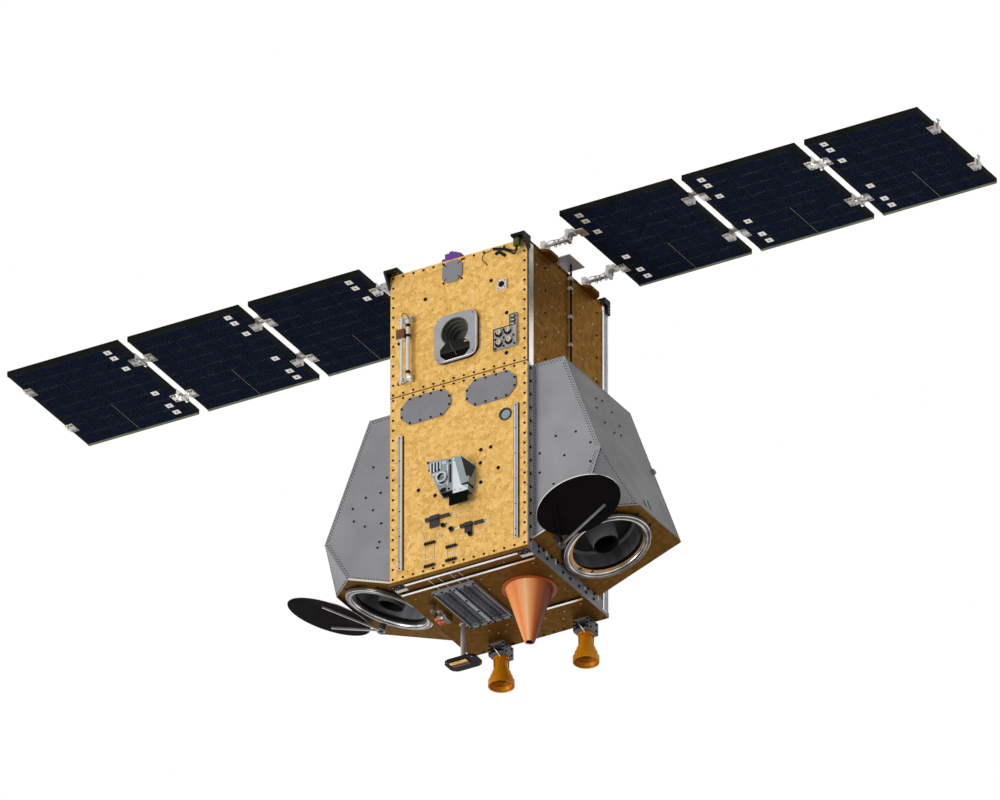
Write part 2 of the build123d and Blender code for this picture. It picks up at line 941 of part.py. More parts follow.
def cone_antenna():
    """Spun copper cone on a bolted flange, with an open tip."""
    cone = Cylinder(cone_flange_radius, cone_flange_thickness, align=DOWN)
    body = cone_height - cone_flange_thickness
    cone += Pos(0, 0, -cone_flange_thickness) * Cone(cone_tip_radius, cone_base_radius, body, align=DOWN)
    cone -= Pos(0, 0, -cone_height) * Cylinder(cone_bore_radius, 2 * cone_bore_depth)
    return Pos(cone_x, cone_y, body_bottom) * cone


def patch_mast():
    """Pole under the floor with a rounded antenna plate and its patch."""
    width, depth, thickness = patch_tile
    pole = Cylinder(mast_radius + mast_foot, mast_foot, align=DOWN)
    pole += Cylinder(mast_radius, mast_height, align=DOWN)
    plate = extrude(RectangleRounded(patch_width, patch_depth, patch_corner), -patch_thickness)
    pole += Pos(0, 0, -mast_height) * plate
    tile = Box(width, depth, thickness, align=DOWN)
    pole += Pos(*patch_tile_place, -mast_height - patch_thickness) * tile
    return Pos(mast_x, mast_y, body_bottom) * pole


def radiator():
    """Framed radiator with narrow mirror strips."""
    low = (*radiator_low, body_bottom - radiator_thickness)
    high = (*radiator_high, body_bottom)
    panel = box_between(low, high)
    pitch = (high[0] - low[0] - radiator_bar) / radiator_strips
    for number in range(radiator_strips):
        x = low[0] + radiator_bar + number * pitch
        panel -= box_between(
            (x, low[1] + radiator_frame, low[2] - overcut),
            (x + pitch - radiator_bar, high[1] - radiator_frame, low[2] + radiator_recess),
        )
    return panel


def floor_strips():
    """Straight white strips across the floor."""
    return [
        box_between(
            (row.start_x, row.y - floor_strip_width / 2, body_bottom - floor_strip_thickness),
            (row.end_x, row.y + floor_strip_width / 2, body_bottom),
        )
        for row in floor_strip_rows
    ]


def horn_brackets():
    """Open blocks at the floor's back edge that carry the horns."""
    blocks = []
    for x, y in horn_places:
        half = horn_bracket_width / 2
        block = box_between(
            (x - half, y + half - horn_bracket_depth, body_bottom - horn_bracket_height),
            (x + half, y + half, body_bottom),
        )
        opening = half - horn_bracket_wall
        block -= box_between(
            (x - opening, y + half - horn_bracket_depth - overcut,
             body_bottom - horn_bracket_height + horn_bracket_wall),
            (x + opening, y + opening, body_bottom - horn_bracket_wall),
        )
        blocks.append(block)
    return blocks


def horns():
    """Corrugated horn antennas, open downwards."""
    pieces = []
    for x, y in horn_places:
        horn = Cylinder(horn_collar_radius, horn_collar_height, align=DOWN)
        depth = horn_collar_height
        horn += Pos(0, 0, -depth) * Cylinder(horn_throat_radius, horn_throat_height, align=DOWN)
        depth += horn_throat_height
        start = depth
        for radius, height in horn_steps:
            horn += Pos(0, 0, -depth) * Cylinder(radius, height, align=DOWN)
            depth += height
        mouth = horn_steps[-1][0] - horn_wall
        throat = horn_steps[0][0] - horn_throat_inset
        horn -= Pos(0, 0, -start) * Cone(mouth, throat, depth - start, align=DOWN)
        pieces.append(Pos(x, y, body_bottom - horn_bracket_height) * horn)
    return pieces


def valves():
    """Two thruster valves on a block, and a fill-and-drain fitting."""
    length, width, height = valve_block
    block = box_between(
        (valve_x, valve_y - width / 2, body_bottom - height),
        (valve_x + length, valve_y + width / 2, body_bottom),
    )
    for y in (valve_y - valve_spacing / 2, valve_y + valve_spacing / 2):
        z = body_bottom - height / 2
        block += rod_between((valve_x + lap, y, z), (valve_x - valve_length, y, z), valve_radius)
    drain = Pos(*drain_place, body_bottom) * Cylinder(drain_radius, drain_height, align=DOWN)
    drain += Pos(*drain_place, body_bottom - drain_height) * Sphere(drain_radius)
    return [block, drain]


# ---------------------------------------------------------------- wings

def wing_panel(index):
    """One panel with its raised rows of cells on the underside."""
    x = wing_reach + index * hinge_pitch
    half = panel_thickness / 2
    board = box_between(
        (x, -panel_depth / 2, wing_z - half),
        (x + panel_width, panel_depth / 2, wing_z + half),
    )
    pitch = (panel_depth - 2 * cell_margin_y) / cell_rows
    notch = Box(
        2 * (leaf_length + leaf_clearance), leaf_width + 2 * leaf_clearance, 2 * panel_thickness
    )
    for number in range(cell_rows):
        y = -panel_depth / 2 + cell_margin_y + pitch * (number + 0.5)
        cells = box_between(
            (x + cell_margin_x, y - (pitch - cell_row_gap) / 2, wing_z - half - cell_thickness),
            (x + panel_width - cell_margin_x, y + (pitch - cell_row_gap) / 2, wing_z - half),
        )
        for end_x in (x, x + panel_width):
            for leaf_y in (-hinge_y, hinge_y):
                cells -= Pos(end_x, leaf_y, wing_z) * notch
        board += cells
    return board


def knuckle(x, y, z, length, radius):
    return Pos(x, y, z) * Rot(90, 0, 0) * Cylinder(radius, length)


def edge_clamp(edge_x, y, inwards):
    """A fitting bent round a panel's edge; inwards is 1 where the panel lies towards +X."""
    half = panel_thickness / 2
    low_x, high_x = sorted((edge_x - inwards * leaf_thickness, edge_x + inwards * leaf_length))
    clamp = box_between(
        (low_x, y - leaf_width / 2, wing_z - half - leaf_thickness),
        (high_x, y + leaf_width / 2, wing_z + half + leaf_thickness),
    )
    low_x, high_x = sorted((edge_x, edge_x + inwards * 2 * leaf_length))
    return clamp - box_between(
        (low_x, y - leaf_width, wing_z - half), (high_x, y + leaf_width, wing_z + half)
    )


def hinge_half(axis_x, y, z_sign, inwards, knuckles):
    """An edge clamp with webs to its knuckles, each given as an offset and a length."""
    edge_x = axis_x + inwards * panel_gap / 2
    axis_z = wing_z + z_sign * hinge_offset
    piece = edge_clamp(edge_x, y, inwards)
    low_x, high_x = sorted((axis_x, edge_x + inwards * 2 * leaf_thickness))
    low_z, high_z = sorted((wing_z + z_sign * panel_thickness / 2, axis_z))
    for offset, length in knuckles:
        piece += box_between(
            (low_x, y + offset - length / 2, low_z), (high_x, y + offset + length / 2, high_z)
        )
        piece += knuckle(axis_x, y + offset, axis_z, length, knuckle_radius)
    return piece


def side_knuckle_offset():
    return middle_knuckle / 2 + knuckle_gap + side_knuckle / 2


def pin_length():
    return 2 * (side_knuckle_offset() + side_knuckle / 2 + pin_head)


def pin_half(axis_x, y, z_sign):
    """Hinge half on the inner panel, with the middle knuckle and the pin."""
    axis_z = wing_z + z_sign * hinge_offset
    half = hinge_half(axis_x, y, z_sign, -1, [(0, middle_knuckle)])
    return half + knuckle(axis_x, y, axis_z, pin_length(), pin_radius)


def bored_half(axis_x, y, z_sign):
    """Hinge half on the outer panel, with two bored knuckles round the pin."""
    axis_z = wing_z + z_sign * hinge_offset
    offset = side_knuckle_offset()
    half = hinge_half(axis_x, y, z_sign, 1, [(-offset, side_knuckle), (offset, side_knuckle)])
    return half - knuckle(axis_x, y, axis_z, 2 * leaf_width, pin_radius + pin_clearance)


def root_tongue(y):
    """Edge clamp with a tongue, the root hinge's middle knuckle and its pin."""
    piece = edge_clamp(wing_reach, y, 1)
    piece += box_between(
        (root_axis_x, y - middle_knuckle / 2, wing_z - knuckle_radius),
        (wing_reach, y + middle_knuckle / 2, wing_z + knuckle_radius),
    )
    piece += knuckle(root_axis_x, y, wing_z, middle_knuckle, root_lug_radius)
    return piece + knuckle(root_axis_x, y, wing_z, pin_length(), pin_radius)


def wing_arm(y):
    """Fixed outrigger: foot plate, upright, tube, end block and the root hinge's two lugs."""
    plate = box_between(
        (body_side - arm_plate_reach, y - arm_plate_width / 2, body_top),
        (body_side + tab_reach / 2, y + arm_plate_width / 2, body_top + arm_plate_thickness),
    )
    plate += box_between(
        (body_side - arm_foot_length, y - arm_foot_width / 2, body_top),
        (body_side, y + arm_foot_width / 2, body_top + arm_foot_height),
    )
    lug_reach = side_knuckle_offset() + side_knuckle / 2
    bridge_x = root_axis_x - root_lug_radius - lug_clearance
    tube_z = body_top + arm_tube_rise
    block = box_between(
        (bridge_x - lug_width - arm_block_length, y - lug_reach, tube_z - arm_tube_radius - arm_block_wall),
        (bridge_x - lug_width, y + lug_reach, wing_z + root_lug_radius),
    )
    block += box_between(
        (bridge_x - lug_width, y - lug_reach, wing_z - root_lug_radius),
        (bridge_x, y + lug_reach, wing_z + root_lug_radius),
    )
    for sign in (-1, 1):
        lug_y = y + sign * side_knuckle_offset()
        block += box_between(
            (bridge_x, lug_y - side_knuckle / 2, wing_z - root_lug_radius),
            (root_axis_x, lug_y + side_knuckle / 2, wing_z + root_lug_radius),
        )
        block += knuckle(root_axis_x, lug_y, wing_z, side_knuckle, root_lug_radius)
    block -= knuckle(root_axis_x, y, wing_z, 2 * leaf_width, pin_radius + pin_clearance)
    tube_end = bridge_x - lug_width - lap
    tube = rod_between((body_side - lap, y, tube_z), (tube_end, y, tube_z), arm_tube_radius)
    return plate + tube + block


def tip_fitting(y):
    """Edge clamp on the outer panel's free edge, with an upright arm for the hold-down."""
    edge_x = wing_reach + 2 * hinge_pitch + panel_width
    half = panel_thickness / 2
    piece = edge_clamp(edge_x, y, -1)
    arm_x = edge_x + leaf_thickness + tip_arm_radius - lap
    base_z = wing_z - half
    piece += rod_between((arm_x, y, base_z), (arm_x, y, base_z + tip_arm_height), tip_arm_radius)
    return piece + knuckle(arm_x, y, base_z + tip_arm_height, tip_head_length, tip_arm_radius)


def wing_nodes():
    """The right wing's moving pieces by name, at their places."""
    first = root_axis_x + hinge_pitch
    second = first + hinge_pitch
    ends = (-hinge_y, hinge_y)
    return {
        "inner_panel": [wing_panel(0)],
        "middle_panel": [wing_panel(1)],
        "outer_panel": [wing_panel(2)],
        "inner_fittings": [root_tongue(y) for y in ends] + [pin_half(first, y, 1) for y in ends],
        "middle_fittings": [bored_half(first, y, 1) for y in ends] + [pin_half(second, y, -1) for y in ends],
        "outer_fittings": [bored_half(second, y, -1) for y in ends] + [tip_fitting(y) for y in ends],
    }


# ---------------------------------------------------------------- writing

def write(name, shapes):
    """One file a node: a single solid, or a compound of solids that don't touch."""
    if not isinstance(shapes, list):
        shapes = [shapes]
    solids = [solid for shape in shapes for solid in shape.solids()]
    whole = solids[0] if len(solids) == 1 else Compound(children=solids)
    export_step(whole, f"parts/{name}.step")


def mirrored(shapes):
    return [mirror(shape, about=Plane.YZ) for shape in shapes]


write("front_upper_panel", front_panel(0, seam_drop - seam_gap / 2) - tracker_bore(tracker_mouth_radius))
write("front_lower_panel", front_panel(seam_drop + seam_gap / 2, body_height))
write("back_panel", back_panel())
write("deck", deck())
write("floor_panel", floor_panel())
write("corner_posts", corner_posts())
write("side_panels", [side_panel(row) for row in telescopes])
write("side_rails", [side_rail(-1), side_rail(1)])
write("separation_ring", separation_ring())
write("top_corner_brackets", [
    front_bracket(-1), front_bracket(1), back_bracket(-1), back_bracket(1),
])

write("star_tracker_plate", star_tracker_plate())
write("star_tracker_baffle", star_tracker_baffle())
write("front_covers", covers())
write("cable_ducts", cable_ducts())
write("sun_sensors", sun_sensors())
write("magnet_bars", magnet_bars())
write("connector_panel", connector_panel())
write("connector_caps", connector_caps())
lead = test_lead()
write("test_lead", lead)
write("test_plug", test_plug() - lead)
write("earth_sensor", earth_sensor())
harness = harness_wires()
write("harness_wires", harness)
write("harness_fittings", harness_fittings(harness))
write("whip_antenna", whip_antenna())
write("deck_antenna", deck_antenna())
write("cone_antenna", cone_antenna())
write("patch_mast", patch_mast())
write("radiator", radiator())
write("floor_strips", floor_strips())
write("horn_brackets", horn_brackets())
write("horns", horns())
write("valves", valves())
write("lid_posts", [lid_post(row) for row in telescopes])

for row in telescopes:
    write(f"{row.name}_housing", housing(row))
    write(f"{row.name}_aperture_plate", aperture_plate(row))
    write(f"{row.name}_aperture_hoop", aperture_hoop(row))
    write(f"{row.name}_barrel", barrel(row))
    write(f"{row.name}_central_baffle", central_baffle(row))
    write(f"{row.name}_lid", lid_disc(row))
    write(f"{row.name}_lid_arms", lid_arms(row))

arms = [wing_arm(y) for y in (-hinge_y, hinge_y)]
write("wing_arms", arms + mirrored(arms))
for part, shapes in wing_nodes().items():
    write(f"right_{part}", shapes)
    write(f"left_{part}", mirrored(shapes))
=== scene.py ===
import math

import bpy
from mathutils import Matrix, Vector


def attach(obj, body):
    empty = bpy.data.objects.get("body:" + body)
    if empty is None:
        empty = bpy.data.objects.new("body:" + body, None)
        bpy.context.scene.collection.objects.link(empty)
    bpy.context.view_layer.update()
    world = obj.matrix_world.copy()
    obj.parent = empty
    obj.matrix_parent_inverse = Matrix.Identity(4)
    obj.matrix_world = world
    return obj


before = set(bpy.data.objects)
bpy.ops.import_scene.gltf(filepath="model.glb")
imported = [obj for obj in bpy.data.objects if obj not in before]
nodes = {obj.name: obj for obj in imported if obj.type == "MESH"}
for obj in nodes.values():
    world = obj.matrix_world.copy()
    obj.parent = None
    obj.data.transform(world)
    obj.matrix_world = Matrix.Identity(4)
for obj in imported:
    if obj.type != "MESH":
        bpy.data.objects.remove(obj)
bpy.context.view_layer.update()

# Camera.
# It looks up at the satellite from its front right corner, through a very long lens that keeps
# far and near edges the same size.
look_at = Vector((0.002, 0, -0.522))
towards_camera = Vector((0.433, -0.750, -0.500)).normalized()
camera_distance = 126.72
camera_data = bpy.data.cameras.new("camera")
camera_data.sensor_width = 36
camera_data.lens = 1200
camera_data.clip_start = 10
camera_data.clip_end = 400
camera = bpy.data.objects.new("camera", camera_data)
camera.location = look_at + towards_camera * camera_distance
camera.rotation_euler = towards_camera.to_track_quat("Z", "Y").to_euler()
bpy.context.scene.collection.objects.link(camera)
bpy.context.scene.camera = camera


# Studio.
# A pale floor far below, an even white room, and a soft lamp that faces the satellite's front.
# The floor shows from above only, so it doesn't hide the satellite from a camera beneath it.
def node(tree, kind, settings={}, **inputs):
    """Adds a shader node, with its settings and its inputs set or linked."""
    made = tree.nodes.new(kind)
    for name, value in settings.items():
        setattr(made, name, value)
    for name, value in inputs.items():
        socket = made.inputs[int(name[1:]) if name[1:].isdigit() else name.replace("_", " ")]
        if isinstance(value, bpy.types.NodeSocket):
            tree.links.new(value, socket)
        else:
            socket.default_value = value
    return made


def maths(tree, operation, *values):
    """The result of one operation on numbers or sockets."""
    inputs = {f"_{number}": value for number, value in enumerate(values)}
    return node(tree, "ShaderNodeMath", {"operation": operation}, **inputs).outputs[0]


def vectors(tree, operation, **inputs):
    """A vector operation, of which the caller takes the output that it needs."""
    return node(tree, "ShaderNodeVectorMath", {"operation": operation}, **inputs).outputs


def blank_material(name):
    """A new material, and its node tree with nothing in it yet."""
    material = bpy.data.materials.new(name)
    material.use_nodes = True
    material.node_tree.nodes.clear()
    return material, material.node_tree


white = (1, 1, 1, 1)
scene = bpy.context.scene
scene.view_settings.view_transform = "Standard"
world = bpy.data.worlds.new("white_room")
world.use_nodes = True
room = world.node_tree
room.nodes.clear()
rays = node(room, "ShaderNodeLightPath").outputs
seen = maths(room, "ADD", maths(room, "ADD", rays["Is Camera Ray"], rays["Is Transmission Ray"]),
             rays["Is Glossy Ray"])
light = node(room, "ShaderNodeBackground", Color=white, Strength=0.42)
backdrop = node(room, "ShaderNodeBackground", Color=white, Strength=1.0)
shown = node(room, "ShaderNodeMixShader", _0=seen, _1=light.outputs[0], _2=backdrop.outputs[0])
node(room, "ShaderNodeOutputWorld", Surface=shown.outputs[0])
scene.world = world

lamp_data = bpy.data.lights.new("front_lamp", "SUN")
lamp_data.energy = 1.72
lamp_data.angle = math.radians(22)
lamp = bpy.data.objects.new("front_lamp", lamp_data)
lamp.rotation_euler = Vector((0.52, 0.78, 0.35)).to_track_quat("-Z", "Y").to_euler()
scene.collection.objects.link(lamp)

bpy.ops.mesh.primitive_plane_add(size=110, location=(0, 0, -64.4))
floor = bpy.context.object
floor.name = "studio_floor"
pale_floor, tree = blank_material("pale_floor")
matt = node(tree, "ShaderNodeBsdfDiffuse", Color=(0.86, 0.86, 0.85, 1))
clear = node(tree, "ShaderNodeBsdfTransparent")
facing = node(tree, "ShaderNodeNewGeometry")
floor_shader = node(tree, "ShaderNodeMixShader", _0=facing.outputs["Backfacing"], _1=matt.outputs[0],
                    _2=clear.outputs[0])
node(tree, "ShaderNodeOutputMaterial", Surface=floor_shader.outputs[0])
floor.data.materials.append(pale_floor)


# Foil blankets on the body's panels.
# Metallised film, gold on the front and darker amber elsewhere, laid over the panels and crinkled
# by hand. The wrinkles are small flat facets with soft creases between them, which are darkened
# with painted shade.
def tone(code):
    """A colour from its six hexadecimal figures."""
    parts = [int(code[i:i + 2], 16) / 255 for i in (0, 2, 4)]
    return tuple(p / 12.92 if p <= 0.04045 else ((p + 0.055) / 1.055) ** 2.4 for p in parts) + (1,)


def new_group(name, inputs, outputs):
    """An empty shader group with its named inputs and outputs."""
    group = bpy.data.node_groups.new(name, "ShaderNodeTree")
    for label, value in inputs.items():
        group.interface.new_socket(label, in_out="INPUT", socket_type="NodeSocketFloat").default_value = value
    for label in outputs:
        group.interface.new_socket(label, in_out="OUTPUT", socket_type="NodeSocketFloat")
    return group, group.nodes.new("NodeGroupInput").outputs, group.nodes.new("NodeGroupOutput").inputs


crinkle, given, result = new_group("foil_crinkle", {"Scale": 1.0}, ("Shade", "Crease", "Relief"))
place = node(crinkle, "ShaderNodeTexCoord").outputs["Object"]
bent = node(crinkle, "ShaderNodeTexNoise", Vector=place, Scale=34.0, Detail=2.0)
shift = vectors(crinkle, "SCALE", _0=bent.outputs["Color"], Scale=0.030)[0]
where = vectors(crinkle, "ADD", _0=place, _1=shift)[0]
sized = vectors(crinkle, "SCALE", _0=where, Scale=given["Scale"])[0]
facets = node(crinkle, "ShaderNodeTexVoronoi", {"feature": "F1"}, Vector=sized, Scale=58.0)
facet = node(crinkle, "ShaderNodeSeparateXYZ", _0=facets.outputs["Color"])
folds = node(crinkle, "ShaderNodeTexVoronoi", {"feature": "DISTANCE_TO_EDGE"}, Vector=sized, Scale=58.0)
fine = node(crinkle, "ShaderNodeTexNoise", Vector=sized, Scale=150.0, Detail=4.0, Roughness=0.65)
broken = node(crinkle, "ShaderNodeTexNoise", Vector=sized, Scale=52.0, Detail=2.0)
fold_line = node(crinkle, "ShaderNodeMapRange", _0=folds.outputs["Distance"], _1=0.0, _2=0.12, _3=0.8, _4=0.0)
some_folds = node(crinkle, "ShaderNodeMapRange", _0=broken.outputs[0], _1=0.50, _2=0.68)
shade = maths(crinkle, "MULTIPLY_ADD", fine.outputs[0], 1.1, maths(crinkle, "MULTIPLY", facet.outputs[0], 0.45))
even = node(crinkle, "ShaderNodeMapRange", _0=shade, _1=0.40, _2=1.15)
crinkle.links.new(even.outputs[0], result["Shade"])
crinkle.links.new(maths(crinkle, "MULTIPLY", fold_line.outputs[0], some_folds.outputs[0]), result["Crease"])
crinkle.links.new(maths(crinkle, "MULTIPLY_ADD", folds.outputs["Distance"], 1.2, shade), result["Relief"])


def foil(name, dark, middle, light, crease_shade, metallic, scale, relief, glare=(0.60, 0.55, 0.50, 1)):
    """Crinkled metallised film in three tones, with painted shade in its folds and its tint at a low angle."""
    material, tree = blank_material(name)
    wrinkles = node(tree, "ShaderNodeGroup", {"node_tree": crinkle}, Scale=scale)
    colours = node(tree, "ShaderNodeValToRGB", _0=wrinkles.outputs["Shade"])
    colours.color_ramp.elements[0].color = tone(dark)
    colours.color_ramp.elements[1].color = tone(light)
    colours.color_ramp.elements.new(0.5).color = tone(middle)
    # The creases are mixed towards a darker colour: painted shade in the folds.
    crease_shaded = node(tree, "ShaderNodeMix", {"data_type": "RGBA"}, _0=wrinkles.outputs["Crease"],
                  _6=colours.outputs[0], _7=tone(crease_shade))
    polish = node(tree, "ShaderNodeMapRange", _0=wrinkles.outputs["Shade"], _3=0.56, _4=0.44)
    bump = node(tree, "ShaderNodeBump", Strength=relief, Distance=0.0022, Height=wrinkles.outputs["Relief"])
    shader = node(tree, "ShaderNodeBsdfPrincipled", Base_Color=crease_shaded.outputs[2], Metallic=metallic,
                  Roughness=polish.outputs[0], Normal=bump.outputs[0], Specular_IOR_Level=0.3,
                  Specular_Tint=glare)
    node(tree, "ShaderNodeOutputMaterial", Surface=shader.outputs[0])
    return material


def dress(names, material):
    """Gives CAD nodes one material."""
    for name in names:
        nodes[name].data.materials.clear()
        nodes[name].data.materials.append(material)


gold_foil = foil("gold_foil", "d2a04e", "efc06c", "fdd486", "c08e42", 0.30, 1.0, 0.30)
brown_foil = foil("brown_foil", "5c401a", "6c4b1f", "785526", "553a16", 0.90, 1.0, 0.18)
# The side panels get a lighter copy of the amber film: painted light.
side_foil_painted_light = foil("side_foil_painted_light", "6b4a1e", "845d28", "946a2f", "63431a", 0.90, 1.0, 0.18, (0.66, 0.60, 0.52, 1))
dress(["front_upper_panel", "front_lower_panel"], gold_foil)
dress(["back_panel", "floor_panel", "deck"], brown_foil)
dress(["side_panels"], side_foil_painted_light)


# Corner posts, side rails and the separation ring.
# Machined aluminium: the posts are covered with bright tape outside, and the rails along the lower
# edges and the ring are blasted grey.
speckle, given, result = new_group("metal_speckle", {"Scale": 1.0}, ("Shade", "Relief"))
place = node(speckle, "ShaderNodeTexCoord").outputs["Object"]
sized = vectors(speckle, "SCALE", _0=place, Scale=given["Scale"])[0]
fine = node(speckle, "ShaderNodeTexNoise", Vector=sized, Scale=260.0, Detail=3.0, Roughness=0.6)
broad = node(speckle, "ShaderNodeTexNoise", Vector=sized, Scale=9.0, Detail=3.0, Roughness=0.55)
both = maths(speckle, "MULTIPLY_ADD", fine.outputs[0], 0.45, broad.outputs[0])
ranged = node(speckle, "ShaderNodeMapRange", _0=both, _1=0.45, _2=1.0)
speckle.links.new(ranged.outputs[0], result["Shade"])
speckle.links.new(fine.outputs[0], result["Relief"])


def metal(name, dark, light, metallic=0.6, roughness=0.42, scale=1.0, relief=0.08, specular=0.35):
    """A painted, blasted or machined surface that wanders between two near tones."""
    material, tree = blank_material(name)
    grain = node(tree, "ShaderNodeGroup", {"node_tree": speckle}, Scale=scale)
    colours = node(tree, "ShaderNodeValToRGB", _0=grain.outputs["Shade"])
    colours.color_ramp.elements[0].color = tone(dark)
    colours.color_ramp.elements[1].color = tone(light)
    polish = node(tree, "ShaderNodeMapRange", _0=grain.outputs["Shade"], _3=roughness + 0.07,
                  _4=roughness - 0.05)
    bump = node(tree, "ShaderNodeBump", Strength=relief, Distance=0.0006, Height=grain.outputs["Relief"])
    shader = node(tree, "ShaderNodeBsdfPrincipled", Base_Color=colours.outputs[0], Metallic=metallic,
                  Roughness=polish.outputs[0], Normal=bump.outputs[0], Specular_IOR_Level=specular)
    node(tree, "ShaderNodeOutputMaterial", Surface=shader.outputs[0])
    return material


grey_aluminium = metal("grey_aluminium", "7d7d80", "8b8b90", 0.30, 0.50)
silver_tape = metal("silver_tape", "e9e6e1", "fbf9f6", 1.0, 0.30)
dress(["corner_posts"], silver_tape)
dress(["side_rails", "separation_ring"], grey_aluminium)


# Bolts of the front panels.
# Black socket-head screws hold the two panels along their edges and on both sides of the seam.
# Black plugs close the threaded inserts in between, and studs and vents pin and pierce the film.
def turned(name, profile, sides=12, hollow=False):
    """A turned piece on the origin, from its rings as (radius, height) in millimetres, seat first. A
    hollow one is a ring round the closed outline."""
    profile = [(radius / 1000, height / 1000) for radius, height in profile]
    bpy.ops.object.select_all(action="DESELECT")
    radius, height = profile[0]
    bpy.ops.mesh.primitive_circle_add(vertices=sides, radius=radius, fill_type="NOTHING" if hollow else "NGON",
                                      location=(0, 0, height))
    piece = bpy.context.object
    piece.name = name
    bpy.ops.object.transform_apply()
    bpy.ops.object.mode_set(mode="EDIT")
    bpy.ops.mesh.select_all(action="SELECT")
    for ring_radius, ring_height in profile[1:] + (profile[:1] if hollow else []):
        bpy.ops.mesh.extrude_region_move(TRANSFORM_OT_translate={"value": (0, 0, ring_height - height)})
        bpy.ops.transform.resize(value=(ring_radius / radius, ring_radius / radius, 1))
        radius, height = ring_radius, ring_height
    bpy.ops.mesh.select_all(action="SELECT")
    if hollow:
        bpy.ops.mesh.remove_doubles(threshold=0.00001)
    bpy.ops.mesh.normals_make_consistent(inside=False)
    bpy.ops.object.mode_set(mode="OBJECT")
    return piece


def joined(name, pieces):
    """One piece out of several."""
    bpy.ops.object.select_all(action="DESELECT")
    for piece in pieces:
        piece.select_set(True)
    bpy.context.view_layer.objects.active = pieces[0]
    if len(pieces) > 1:
        bpy.ops.object.join()
    pieces[0].name = name
    return pieces[0]


def set_out(name, pattern, places, facing):
    """Copies of a pattern piece at each place, all turned to face one way, joined as one piece."""
    turn = Vector(facing).to_track_quat("Z", "Y").to_matrix().to_4x4()
    copies = []
    for place in places:
        copy = bpy.data.objects.new(name, pattern.data.copy())
        copy.data.transform(Matrix.Translation(place) @ turn)
        scene.collection.objects.link(copy)
        copies.append(copy)
    return joined(name, copies)


black_paint = metal("black_paint", "090909", "131314", 0.0, 0.45, specular=0.12)


def mount(piece, material=black_paint, slot="black_inside", body="satellite_body"):
    """Gives a finished piece its material, and fixes it to a body."""
    piece.data.materials.clear()
    piece.data.materials.append(material)
    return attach(piece, body)


def fasten(name, pattern, places, facing, *finish):
    """Mounts a row of small pieces, with the material, slot and body that mount takes; the slot is not used."""
    return mount(set_out(name, pattern, places, facing), *finish)


def fit(name, pieces, *finish):
    """Mounts several pieces as one."""
    return mount(joined(name, pieces), *finish)


def along(start, end, count):
    """Evenly spaced places from one point to another."""
    start, end = Vector(start), Vector(end)
    return [start.lerp(end, number / (count - 1)) for number in range(count)]


def upright(y, pairs):
    """Places in an upright plane across the satellite, from (x, z) in millimetres."""
    return [(x / 1000, y, z / 1000) for x, z in pairs]


def discard(*patterns):
    """Takes away pattern pieces that are no longer needed."""
    for pattern in patterns:
        bpy.data.objects.remove(pattern)


ahead = (0, -1, 0)
front_y = -0.3095
screw_line = 0.288
black_screw = turned("black_screw", [(4.6, -0.4), (4.6, 2.2), (3.8, 3), (2.2, 3), (2, 1.2)])
insert_plug = turned("insert_plug", [(7.8, -0.4), (7.8, 1.4), (6.6, 2.2), (3.4, 2.2), (3, 0.8)], 16)
small_stud = turned("small_stud", [(2.4, -0.3), (2.4, 1), (1.6, 1.6)], 8)
vent_hole = turned("vent_hole", [(2.1, -0.3), (2.1, 0.4), (1.2, 0.5)], 6)
places = []
for top, low, count in ((-0.062, -0.574, 13), (-0.598, -1.380, 19)):
    for x in (-screw_line, screw_line):
        places += along((x, front_y, top), (x, front_y, low), count)
    for z in (top, low):
        places += along((-screw_line, front_y, z), (screw_line, front_y, z), 14)[1:-1]
fasten("front_panel_screws", black_screw, places, ahead)
places = upright(front_y, [
    (-147, -192), (142, -194), (210, -354), (-262, -354), (-262, -531), (209, -530), (97, -922), (140, -922),
    (95, -979), (173, -1022), (97, -1064), (-176, -1021), (-103, -1064),
])
fasten("insert_plugs", insert_plug, places, ahead)
stud_spots = [
    (-200, -152), (-95, -232), (-30, -250), (60, -215), (108, -142), (-205, -300), (-120, -310), (120, -262),
    (-232, -200), (60, -560), (20, -563), (-60, -566), (-10, -622), (-255, -700), (-190, -790), (20, -760),
    (90, -800), (-60, -840), (150, -850), (-215, -900), (200, -905), (-190, -1105), (60, -1120), (170, -1130),
    (205, -1205), (-215, -1240), (178, -1290), (90, -1330), (-205, -1345), (30, -1345), (235, -640), (232, -1100),
]
fasten("blanket_studs", small_stud, upright(front_y, stud_spots[::3]), ahead, silver_tape, "bare_metal")
places = [(x + dx, y, z + dz) for x, y, z in upright(front_y, stud_spots)
          for dx, dz in ((0.013, 0.021), (-0.019, -0.016))]
fasten("blanket_vents", vent_hole, places, ahead)
discard(insert_plug)


# Corner strips.
# Tape battens over the blanket's ends beside both posts, and below the seam a grey rail with heavy
# black screws that the telescope housings bolt against.
def block(name, low, high, eased=0.0006):
    """A block between two corners, with its edges eased."""
    low, high = Vector(low), Vector(high)
    bpy.ops.object.select_all(action="DESELECT")
    bpy.ops.mesh.primitive_cube_add(size=1, location=(low + high) / 2)
    piece = bpy.context.object
    piece.name = name
    piece.scale = high - low
    bpy.ops.object.transform_apply(location=True, rotation=True, scale=True)
    if eased:
        edges = piece.modifiers.new("eased_edges", "BEVEL")
        edges.width = eased
        edges.segments = 2
        bpy.ops.object.modifier_apply(modifier=edges.name)
    return piece


def side_block(name, side, near, far, low_y, high_y, low_z, high_z, eased=0.0006):
    """A block on one side of the body, between two distances from its middle."""
    low_x, high_x = sorted((side * near, side * far))
    return block(name, (low_x, low_y, low_z), (high_x, high_y, high_z), eased)


